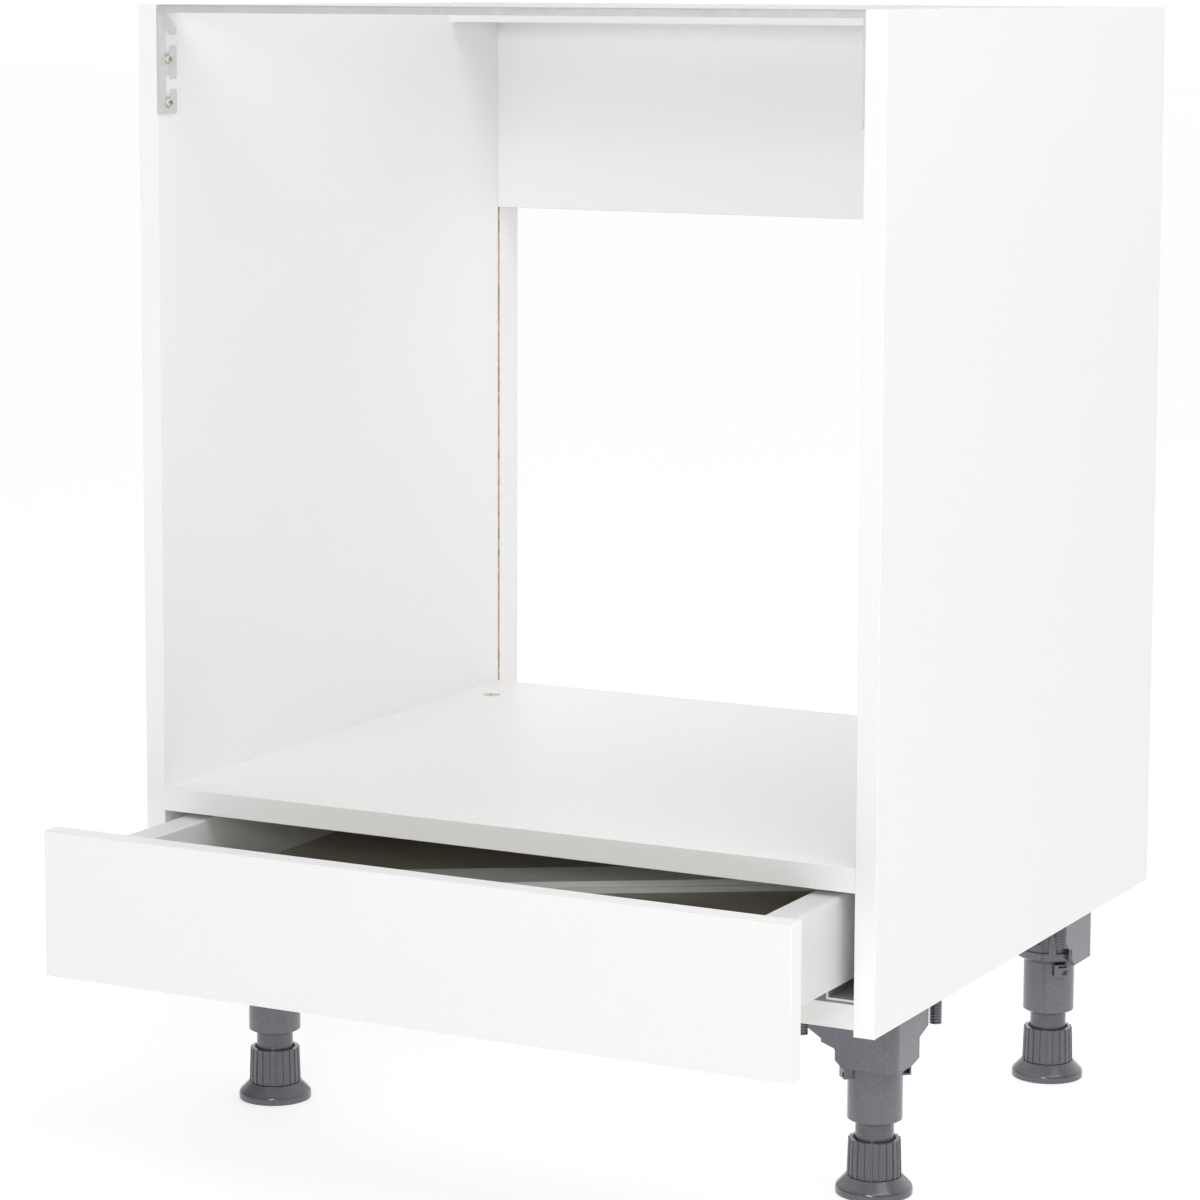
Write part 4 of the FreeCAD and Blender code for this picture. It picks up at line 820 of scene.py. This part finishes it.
def hand_over(piece, nodes, body, finish, crease=BOARD_CREASE):
    """Gives a piece its shading, finish and body, and hides the CAD pieces that it stands for."""
    take(piece)
    bpy.ops.object.shade_smooth_by_angle(angle=math.radians(crease))
    apply_modifier(piece, "WEIGHTED_NORMAL", keep_sharp=True)
    piece.data.materials.clear()
    piece.data.materials.append(finish_named(finish))
    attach(piece, body)
    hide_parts(*nodes)


def box_edges(node):
    """A test for the straight outer edges of a box-shaped piece."""
    low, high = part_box(node)

    def on_outside(edge):
        spot = middle(edge)
        faces = sum(near(spot[axis], low[axis]) or near(spot[axis], high[axis]) for axis in range(3))
        return faces == 2 and any(along(edge, axis) for axis in range(3))

    return on_outside


def soft_board(node, name, body, finish):
    """A board with its outer edges softened; holes and grooves stay as drilled."""
    piece = cad_copy(node, name)
    with editing(piece):
        soften(bpy.context.scene.cabinet_sizes.board_chamfer, box_edges(node))
    hand_over(piece, [node], body, finish)


class CabinetOperator:
    """Settings that the cabinet's operators share."""

    bl_options = {"REGISTER", "UNDO"}


class CABINET_OT_side_panels(CabinetOperator, bpy.types.Operator):
    """Side panels with a raw groove for the back strip"""

    bl_idname = "cabinet.side_panels"
    bl_label = "Side panels"

    def execute(self, context):
        for side, _ in SIDES:
            soft_board(f"{side}_side_panel", f"{side}_panel_faced", "carcass",
                       "carcass_board")
        return {"FINISHED"}


class CABINET_OT_carcass_boards(CabinetOperator, bpy.types.Operator):
    """Oven shelf, bottom board and the board across the top rear"""

    bl_idname = "cabinet.carcass_boards"
    bl_label = "Carcass boards"

    def execute(self, context):
        for node in ("oven_shelf", "bottom_board", "rear_top_stretcher"):
            soft_board(node, f"{node}_faced", "carcass", "carcass_board")
        return {"FINISHED"}


class CABINET_OT_edge_bands(CabinetOperator, bpy.types.Operator):
    """Edge bands on the front edges"""

    bl_idname = "cabinet.edge_bands"
    bl_label = "Edge bands"

    def execute(self, context):
        for board in ("left_side", "right_side", "shelf", "bottom"):
            dress(f"{board}_edge_band", "white_edge_band")
        return {"FINISHED"}


class CABINET_OT_back_strip(CabinetOperator, bpy.types.Operator):
    """Hardboard strip across the top rear"""

    bl_idname = "cabinet.back_strip"
    bl_label = "Back strip"

    def execute(self, context):
        soft_board("back_strip", "back_strip_lacquered", "carcass", "white_hardboard")
        return {"FINISHED"}


class CABINET_OT_joining_fittings(CabinetOperator, bpy.types.Operator):
    """Dowels, cam locks and cam bolts that join the boards"""

    bl_idname = "cabinet.joining_fittings"
    bl_label = "Joining fittings"

    def execute(self, context):
        dress("wooden_dowels", "beech")
        dress("cam_locks", "zinc_fittings")
        dress("cam_bolts", "zinc_fittings")
        return {"FINISHED"}


class CABINET_OT_front_rail(CabinetOperator, bpy.types.Operator):
    """Folded steel rail with a hooked ear at each end"""

    bl_idname = "cabinet.front_rail"
    bl_label = "Front rail"

    def execute(self, context):
        sizes = context.scene.cabinet_sizes
        low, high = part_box("front_rail")
        piece = cad_copy("front_rail", "front_rail_folded")

        def fold(edge):
            spot = middle(edge)
            return along(edge, 0) and near(spot.y, low.y) and near(spot.z, high.z)

        with editing(piece):
            soften(sizes.rail_fold, fold, segments=4)
            soften(sizes.sheet_chamfer)
        hand_over(piece, ["front_rail"], "carcass", "galvanised_steel")
        return {"FINISHED"}


class CABINET_OT_rail_screws(CabinetOperator, bpy.types.Operator):
    """Domed cross-recess screws that hold the rail's ears"""

    bl_idname = "cabinet.rail_screws"
    bl_label = "Rail screws"

    def execute(self, context):
        sizes = context.scene.cabinet_sizes
        low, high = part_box("rail_screws")
        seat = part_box("right_side_panel")[0].x - sizes.rail_sheet
        axis_y = (low.y + high.y) / 2
        heights = (high.z - sizes.screw_head_radius, low.z + sizes.screw_head_radius)
        screw = self.one_screw(sizes, high.x - seat)
        turned = []
        for side, way in SIDES:
            lean = Matrix.Rotation(-way * math.radians(90), 4, "Y")
            for index, height in enumerate(heights):
                copy = copy_of(screw, f"rail_screw_{side}_{index}")
                spin = Matrix.Rotation(math.radians(SCREW_TURNS[index]), 4, "Z")
                copy.matrix_world = Matrix.Translation((way * seat, axis_y, height)) @ lean @ spin
                turned.append(settle(copy.name))
        clear_away(screw)
        for copy in turned:
            copy.select_set(True)
        bpy.context.view_layer.objects.active = turned[0]
        bpy.ops.object.join()
        piece = bpy.context.active_object
        piece.name = "rail_screws_domed"
        hand_over(piece, ["rail_screws"], "carcass", "zinc_fittings")
        return {"FINISHED"}

    @staticmethod
    def one_screw(sizes, shank_length):
        """A screw that stands on its shank, the seat of its head at the origin."""
        dome_share, tip_edge, recess_taper = 0.6, 0.0006, 0.6
        radius, high = sizes.screw_head_radius, sizes.screw_head_height
        screw = start_round("rail_screw_pattern", (0.0, 0.0), radius, 0.0, high, SCREW_SIDES)
        with editing(screw):
            pick("FACE", faces_down)
            bpy.ops.mesh.inset(thickness=radius - sizes.screw_shank_radius)
            push_out((0.0, 0.0, -shank_length))
            soften(high * dome_share, sharp_at(high), segments=6)
            soften(tip_edge, sharp_at(-shank_length))
        arm, floor = sizes.screw_recess_width / 2, high - sizes.screw_recess_depth
        cross = start_box("rail_screw_cross", (-arm, -arm, floor), (arm, arm, high + CLEAR))
        with editing(cross):
            pick("FACE", lambda face: abs(face.normal.z) < SAME_WAY)
            bpy.ops.mesh.extrude_faces_move(TRANSFORM_OT_shrink_fatten={"value": sizes.screw_recess - arm})
            pick("VERT", lambda point: near(point.co.z, floor))
            widen(recess_taper, (0.0, 0.0))
        carve(screw, cross)
        return screw


class CABINET_OT_drawer_front(CabinetOperator, bpy.types.Operator):
    """Drawer front board"""

    bl_idname = "cabinet.drawer_front"
    bl_label = "Drawer front"

    def execute(self, context):
        dress("drawer_front", "front_board")
        return {"FINISHED"}


class CABINET_OT_drawer_boards(CabinetOperator, bpy.types.Operator):
    """Drawer bottom and back"""

    bl_idname = "cabinet.drawer_boards"
    bl_label = "Drawer boards"

    def execute(self, context):
        for node in ("drawer_bottom", "drawer_back"):
            soft_board(node, f"{node}_faced", "drawer", "drawer_board")
        return {"FINISHED"}


class CABINET_OT_trim_strip(CabinetOperator, bpy.types.Operator):
    """Loose rebated strip that lies slantwise in the drawer"""

    bl_idname = "cabinet.trim_strip"
    bl_label = "Trim strip"

    def execute(self, context):
        piece = cad_copy("loose_trim_strip", "loose_trim_strip_faced")
        with editing(piece):
            soften(context.scene.cabinet_sizes.board_chamfer)
        hand_over(piece, ["loose_trim_strip"], "drawer", "front_board")
        return {"FINISHED"}


class CABINET_OT_drawer_sides(CabinetOperator, bpy.types.Operator):
    """Hollow drawer sides folded from one sheet each"""

    bl_idname = "cabinet.drawer_sides"
    bl_label = "Drawer sides"

    def execute(self, context):
        sizes = context.scene.cabinet_sizes
        right = self.one_side(sizes)
        left = mirrored_copy(right, "drawer_side_left_folded")
        for side, piece in (("right", right), ("left", left)):
            hand_over(piece, [f"drawer_side_{side}"], "drawer", "grey_drawer_steel")
        return {"FINISHED"}

    def one_side(self, sizes):
        """The right side: outer wall, top, inner wall and a ledge under the drawer's bottom."""
        low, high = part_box("drawer_side_right")
        inner, sheet = high.x - sizes.drawer_wall_width, sizes.drawer_sheet
        ledge = low.x - inner
        piece = start_box("drawer_side_right_folded", (inner, low.y, low.z), high)

        def top_edge(x):
            return lambda edge: along(edge, 1) and near(middle(edge).x, x) and near(middle(edge).z, high.z)

        def inner_foot(edge):
            return along(edge, 1) and near(middle(edge).x, inner) and near(middle(edge).z, low.z + sheet)

        with editing(piece):
            pick("FACE", lambda face: abs(face.normal.y) > SAME_WAY or faces_down(face))
            bpy.ops.mesh.delete(type="FACE")
            pick("VERT", lambda point: near(point.co.x, inner) and near(point.co.z, low.z))
            bpy.ops.transform.translate(value=(0.0, 0.0, sheet))
            pick("EDGE", inner_foot)
            push_out((ledge, 0.0, 0.0))
            soften(sizes.drawer_outer_fold, top_edge(high.x), segments=6)
            soften(sizes.drawer_inner_fold, top_edge(inner), segments=4)
            soften(sizes.drawer_inner_fold, inner_foot, segments=4)
            bpy.ops.mesh.select_all(action="SELECT")
            bpy.ops.mesh.normals_make_consistent(inside=False)
        self.turn_sheet_outwards(piece)
        apply_modifier(piece, "SOLIDIFY", thickness=sheet, offset=-1.0, use_even_offset=True)
        return piece

    @staticmethod
    def turn_sheet_outwards(piece):
        """The sheet's outer wall must face away from the drawer."""
        outer = max(piece.data.polygons, key=lambda face: face.center.x)
        if outer.normal.x < 0:
            with editing(piece):
                bpy.ops.mesh.select_all(action="SELECT")
                bpy.ops.mesh.flip_normals()


class CABINET_OT_drawer_fixings(CabinetOperator, bpy.types.Operator):
    """Steel angles and screws that hold the drawer's front and back"""

    bl_idname = "cabinet.drawer_fixings"
    bl_label = "Drawer fixings"

    def execute(self, context):
        for end in ("front", "back"):
            dress(f"drawer_{end}_screws", "zinc_fittings")
            for side, _ in SIDES:
                dress(f"drawer_{end}_fixing_{side}", "galvanised_steel")
        return {"FINISHED"}


class CABINET_OT_runners(CabinetOperator, bpy.types.Operator):
    """Drawer runners, their ball cages and screws"""

    bl_idname = "cabinet.runners"
    bl_label = "Drawer runners"

    def execute(self, context):
        dress("runner_screws", "zinc_fittings")
        for side, _ in SIDES:
            for member in ("cabinet_runner", "middle_runner", "drawer_runner", "lower_ball_cage",
                           "upper_ball_cage"):
                dress(f"{member}_{side}", "galvanised_steel")
        return {"FINISHED"}


class CABINET_OT_leg_brackets(CabinetOperator, bpy.types.Operator):
    """Moulded leg brackets under the bottom board, with their screws"""

    bl_idname = "cabinet.leg_brackets"
    bl_label = "Leg brackets"

    def execute(self, context):
        sizes = context.scene.cabinet_sizes
        dress("bracket_screws", "zinc_fittings")
        for corner in CORNERS:
            node = f"leg_bracket_{corner}"
            piece = cad_copy(node, f"{node}_moulded")
            round_edges(piece, sizes.moulded_edge, BRACKET_EDGE)
            hand_over(piece, [node], "carcass", "leg_plastic", MOULDED_CREASE)
        return {"FINISHED"}


class CABINET_OT_leg_tubes(CabinetOperator, bpy.types.Operator):
    """Leg tubes with two snap lugs and a threaded floor"""

    bl_idname = "cabinet.leg_tubes"
    bl_label = "Leg tubes"

    def execute(self, context):
        sizes = context.scene.cabinet_sizes
        low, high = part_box("leg_tube_front_right")
        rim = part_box("leg_bracket_front_right")[0].z
        tube = self.one_tube(sizes, centre_of("leg_tube_front_right"), low.z, high.z, rim)
        for corner, copy in to_corners(tube, "leg_tube", "moulded", TUBE_TURNS).items():
            hand_over(copy, [f"leg_tube_{corner}"], "carcass", "leg_plastic",
                      MOULDED_CREASE)
        return {"FINISHED"}

    def one_tube(self, sizes, axis, low, high, rim):
        radius, wall = sizes.tube_radius, sizes.tube_wall
        foot_radius = radius - sizes.tube_chamfer
        floor, bore = low + sizes.tube_floor, sizes.stem_radius + sizes.thread_room
        shoulder = low + sizes.tube_chamfer_height
        tube = start_round("leg_tube_pattern", axis, radius, shoulder, high, sizes.round_sides)

        def hole_end(face):
            centre = face.calc_center_median()
            in_middle = (centre - axis).xy.length < HAIR
            at_end = near(centre.z, low) or near(centre.z, floor)
            return in_middle and at_end and abs(face.normal.z) > SAME_WAY

        with editing(tube):
            pick("FACE", faces_down)
            push_out((0.0, 0.0, low - shoulder))
            widen(foot_radius / radius, axis)
            bpy.ops.mesh.inset(thickness=foot_radius - bore)
            pick("FACE", faces_up)
            bpy.ops.mesh.inset(thickness=wall)
            push_out((0.0, 0.0, floor - high))
            bpy.ops.mesh.inset(thickness=radius - wall - bore)
            pick("FACE", hole_end)
            bpy.ops.mesh.delete(type="FACE")
            pick("EDGE", lambda edge: len(edge.link_faces) == 1)
            bpy.ops.mesh.bridge_edge_loops()
        lug = self.one_lug(sizes, axis, rim)
        other = moved_copy(lug, "snap_lug_other", (0.0, 0.0, 0.0), math.pi, axis)
        carve(tube, lug, "UNION")
        carve(tube, other, "UNION")
        round_edges(tube, sizes.moulded_edge, MOULDED_CREASE)
        return tube

    @staticmethod
    def one_lug(sizes, axis, rim):
        """A block below the bracket's rim, hollow from its flank, with a slit and a window in its face."""
        hollow_depth, slit_length, slit_top, slit_foot, pane = 0.007, 0.007, 0.001, 0.0025, 0.0036
        root_room = 0.00005
        half, skin = sizes.lug_width / 2, sizes.lug_skin
        root = axis.x + sizes.tube_radius
        face = root + sizes.lug_reach
        low, flank, far_flank = rim - sizes.lug_height, axis.y - half, axis.y + half
        floor, back, far_skin = low + skin, face - 2 * skin, far_flank - skin / 2
        lug = start_box("snap_lug", (root - sizes.tube_wall / 2, flank, low), (face, far_flank, rim))
        hollow = start_box("lug_hollow", (root + root_room, flank - CLEAR, floor),
                           (face - skin, flank + hollow_depth, rim - skin))
        slit = start_box("lug_slit", (back, far_skin - slit_length, rim - slit_foot),
                         (face + CLEAR, far_skin, rim - slit_top))
        window = start_box("lug_window", (back, far_skin - pane, floor),
                           (face + CLEAR, far_skin, floor + pane))
        for cutter in (hollow, slit, window):
            carve(lug, cutter)
        return lug


class CABINET_OT_foot_sleeves(CabinetOperator, bpy.types.Operator):
    """Ribbed sleeves with their screw stems"""

    bl_idname = "cabinet.foot_sleeves"
    bl_label = "Foot sleeves"

    def execute(self, context):
        sizes = context.scene.cabinet_sizes
        low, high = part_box("foot_sleeve_front_right")
        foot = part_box("foot_disc_front_right")[1].z + sizes.disc_gap
        sleeve = self.one_sleeve(sizes, centre_of("foot_sleeve_front_right"), foot, low.z, high.z)
        for corner, copy in to_corners(sleeve, "foot_sleeve", "ribbed").items():
            # The sleeves take the darker copy of the plastic, painted shade
            hand_over(copy, [f"foot_sleeve_{corner}"], f"{corner}_screw_sleeve",
                      "shaded_foot_plastic", MOULDED_CREASE)
        return {"FINISHED"}

    def one_sleeve(self, sizes, axis, foot, low, high):
        top, sides = foot + sizes.sleeve_height, sizes.round_sides
        stem_root, stem_edge = foot + 0.010, 0.0012
        pivot_root, pivot_edge = foot + 0.005, 0.0005
        sleeve = start_round("foot_sleeve_pattern", axis, sizes.sleeve_radius, foot, top,
                             SLEEVE_RIBS * POINTS_PER_RIB)
        with editing(sleeve):
            pick("VERT", lambda point: near(point.co.z, top))
            widen(sizes.sleeve_top_radius / sizes.sleeve_radius, axis)
            self.leave_ribs(axis, foot, sizes.sleeve_radius, sizes.sleeve_rib)
            self.leave_ribs(axis, top, sizes.sleeve_top_radius, sizes.sleeve_rib)
        recess_radius = sizes.sleeve_top_radius - sizes.sleeve_rib - sizes.sleeve_wall
        recess = start_round("sleeve_recess", axis, recess_radius, top - sizes.sleeve_recess, top + CLEAR,
                             sides)
        spindle = start_round("foot_stem", axis, sizes.stem_radius, stem_root, high, sides)
        with editing(spindle):
            soften(stem_edge, sharp_at(high))
        pivot = start_round("foot_pivot", axis, sizes.pivot_radius, low, pivot_root, sides)
        with editing(pivot):
            soften(pivot_edge, sharp_at(low))
        carve(sleeve, recess)
        carve(sleeve, spindle, "UNION")
        carve(sleeve, pivot, "UNION")
        return sleeve

    @staticmethod
    def leave_ribs(axis, level, radius, depth):
        """Draws the points of one ring inwards between the ribs."""
        step = 2 * math.pi / (SLEEVE_RIBS * POINTS_PER_RIB)

        def between_ribs(point):
            spot = point.co - axis
            place = round(math.atan2(spot.y, spot.x) / step) % POINTS_PER_RIB
            return near(point.co.z, level) and RIB_TOP < place < POINTS_PER_RIB - RIB_TOP

        pick("VERT", between_ribs)
        widen((radius - depth) / radius, axis)


class CABINET_OT_foot_discs(CabinetOperator, bpy.types.Operator):
    """Foot discs with a rounded rim and a cone"""

    bl_idname = "cabinet.foot_discs"
    bl_label = "Foot discs"

    def execute(self, context):
        sizes = context.scene.cabinet_sizes
        low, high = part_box("foot_disc_front_right")
        disc = self.one_disc(sizes, centre_of("foot_disc_front_right"), low.z, high.z)
        for corner, copy in to_corners(disc, "foot_disc", "moulded").items():
            # The discs take the darker copy of the plastic, painted shade
            hand_over(copy, [f"foot_disc_{corner}"], f"{corner}_foot", "shaded_foot_plastic",
                      MOULDED_CREASE)
        return {"FINISHED"}

    @staticmethod
    def one_disc(sizes, axis, low, high):
        foot_edge, top_edge = 0.0006, 0.0005
        radius, cone = sizes.disc_radius, sizes.disc_top_radius
        rim = low + sizes.disc_rim
        socket = sizes.pivot_radius + sizes.pivot_room
        disc = start_round("foot_disc_pattern", axis, radius, low, rim, sizes.round_sides)
        with editing(disc):
            pick("FACE", faces_up)
            push_out((0.0, 0.0, high - rim))
            widen(cone / radius, axis)
            soften(sizes.disc_rim_round, sharp_at(rim), segments=4)
            soften(foot_edge, sharp_at(low))
            soften(top_edge, sharp_at(high), segments=3)
            pick("FACE", faces_up)
            bpy.ops.mesh.inset(thickness=cone - top_edge - socket)
            push_out((0.0, 0.0, -sizes.socket_depth))
        return disc


class CABINET_OT_stage(CabinetOperator, bpy.types.Operator):
    """Floor, surround, light and camera"""

    bl_idname = "cabinet.stage"
    bl_label = "Stage"

    def execute(self, context):
        stage = context.scene.cabinet_stage
        self.floor(stage)
        self.surround(context.scene, stage)
        self.softbox("front_light", stage.front_place, stage.front_size, stage.front_light, stage.aim_height)
        self.softbox("key_light", stage.key_place, stage.key_size, stage.key_light, stage.aim_height)
        self.camera(context.scene, stage)
        return {"FINISHED"}

    @staticmethod
    def floor(stage):
        let_go()
        bpy.ops.mesh.primitive_plane_add(size=stage.floor_size, location=(0.0, 0.0, -stage.floor_gap))
        floor = settle("studio_floor")
        finish = Finish("studio_floor", {"Specular IOR Level": 0.1, "Emission Strength": stage.floor_glow,
                                         "Emission Color": (1.0, 1.0, 1.0, 1.0)})
        cloud = finish.noise(1.2, 2.0)
        colour = finish.blend(cloud, tint(stage.floor, 0.99), tint(stage.floor, 1.01))
        floor.data.materials.append(finish.lay(colour=colour, roughness=0.7 + cloud * 0.1))

    @staticmethod
    def surround(scene, stage):
        """A white surround, brighter overhead and behind the cabinet."""
        world = bpy.data.worlds.new("studio_surround")
        world.use_nodes = True
        nodes = Nodes(world.node_tree)
        way = nodes.add("ShaderNodeSeparateXYZ", None, {0: nodes.add("ShaderNodeTexCoord")["Generated"]})
        rear, top = way["Y"].either(0.0), way["Z"].either(0.0)
        glow = stage.surround + rear * stage.surround_rear + top * stage.surround_top
        world.node_tree.links.new(glow.socket, world.node_tree.nodes["Background"].inputs["Color"])
        scene.world = world
        scene.view_settings.view_transform = "Standard"
        scene.view_settings.look = "None"

    @staticmethod
    def softbox(name, place, size, power, aim_height):
        """A light of that width and height, aimed at the cabinet's upright axis."""
        let_go()
        bpy.ops.object.light_add(type="AREA", location=place)
        light = bpy.context.active_object
        light.name = name
        light.data.shape = "RECTANGLE"
        light.data.size, light.data.size_y = size
        light.data.energy = power
        aim = Vector((0.0, 0.0, aim_height)) - light.location
        light.rotation_euler = aim.to_track_quat("-Z", "Y").to_euler()

    @staticmethod
    def camera(scene, stage):
        let_go()
        bpy.ops.object.camera_add(location=stage.camera_place)
        camera = bpy.context.active_object
        camera.name = "photo_camera"
        level = Euler((math.pi / 2 - stage.camera_tilt, 0.0, stage.camera_turn)).to_matrix()
        camera.rotation_euler = (level @ Matrix.Rotation(stage.camera_roll, 3, "Z")).to_euler()
        camera.data.sensor_width = 36.0
        camera.data.lens = stage.lens
        camera.data.shift_y = stage.lens_shift
        camera.data.clip_end = 100.0
        scene.camera = camera


OPERATORS = (
    CABINET_OT_side_panels,
    CABINET_OT_carcass_boards,
    CABINET_OT_edge_bands,
    CABINET_OT_back_strip,
    CABINET_OT_joining_fittings,
    CABINET_OT_front_rail,
    CABINET_OT_rail_screws,
    CABINET_OT_drawer_front,
    CABINET_OT_drawer_boards,
    CABINET_OT_trim_strip,
    CABINET_OT_drawer_sides,
    CABINET_OT_drawer_fixings,
    CABINET_OT_runners,
    CABINET_OT_leg_brackets,
    CABINET_OT_leg_tubes,
    CABINET_OT_foot_sleeves,
    CABINET_OT_foot_discs,
    CABINET_OT_stage,
)


class CABINET_PT_pieces(bpy.types.Panel):
    """Lists the cabinet's pieces"""

    bl_idname = "CABINET_PT_pieces"
    bl_label = "Oven housing cabinet"
    bl_space_type = "VIEW_3D"
    bl_region_type = "UI"
    bl_category = "Cabinet"

    def draw(self, context):
        for operator in OPERATORS:
            self.layout.operator(operator.bl_idname)


GROUPS = {
    "cabinet_sizes": CabinetSizes,
    "cabinet_colours": CabinetColours,
    "cabinet_stage": CabinetStage,
}


def register():
    for name, group in GROUPS.items():
        bpy.utils.register_class(group)
        setattr(bpy.types.Scene, name, PointerProperty(type=group))
    for operator in OPERATORS:
        bpy.utils.register_class(operator)
    bpy.utils.register_class(CABINET_PT_pieces)


def unregister():
    bpy.utils.unregister_class(CABINET_PT_pieces)
    for operator in reversed(OPERATORS):
        bpy.utils.unregister_class(operator)
    for name, group in GROUPS.items():
        delattr(bpy.types.Scene, name)
        bpy.utils.unregister_class(group)


def main():
    register()
    bpy.ops.cabinet.side_panels()
    bpy.ops.cabinet.carcass_boards()
    bpy.ops.cabinet.edge_bands()
    bpy.ops.cabinet.back_strip()
    bpy.ops.cabinet.joining_fittings()
    bpy.ops.cabinet.front_rail()
    bpy.ops.cabinet.rail_screws()
    bpy.ops.cabinet.drawer_front()
    bpy.ops.cabinet.drawer_boards()
    bpy.ops.cabinet.trim_strip()
    bpy.ops.cabinet.drawer_sides()
    bpy.ops.cabinet.drawer_fixings()
    bpy.ops.cabinet.runners()
    bpy.ops.cabinet.leg_brackets()
    bpy.ops.cabinet.leg_tubes()
    bpy.ops.cabinet.foot_sleeves()
    bpy.ops.cabinet.foot_discs()
    bpy.ops.cabinet.stage()
    let_go()


if __name__ == "__main__":
    main()
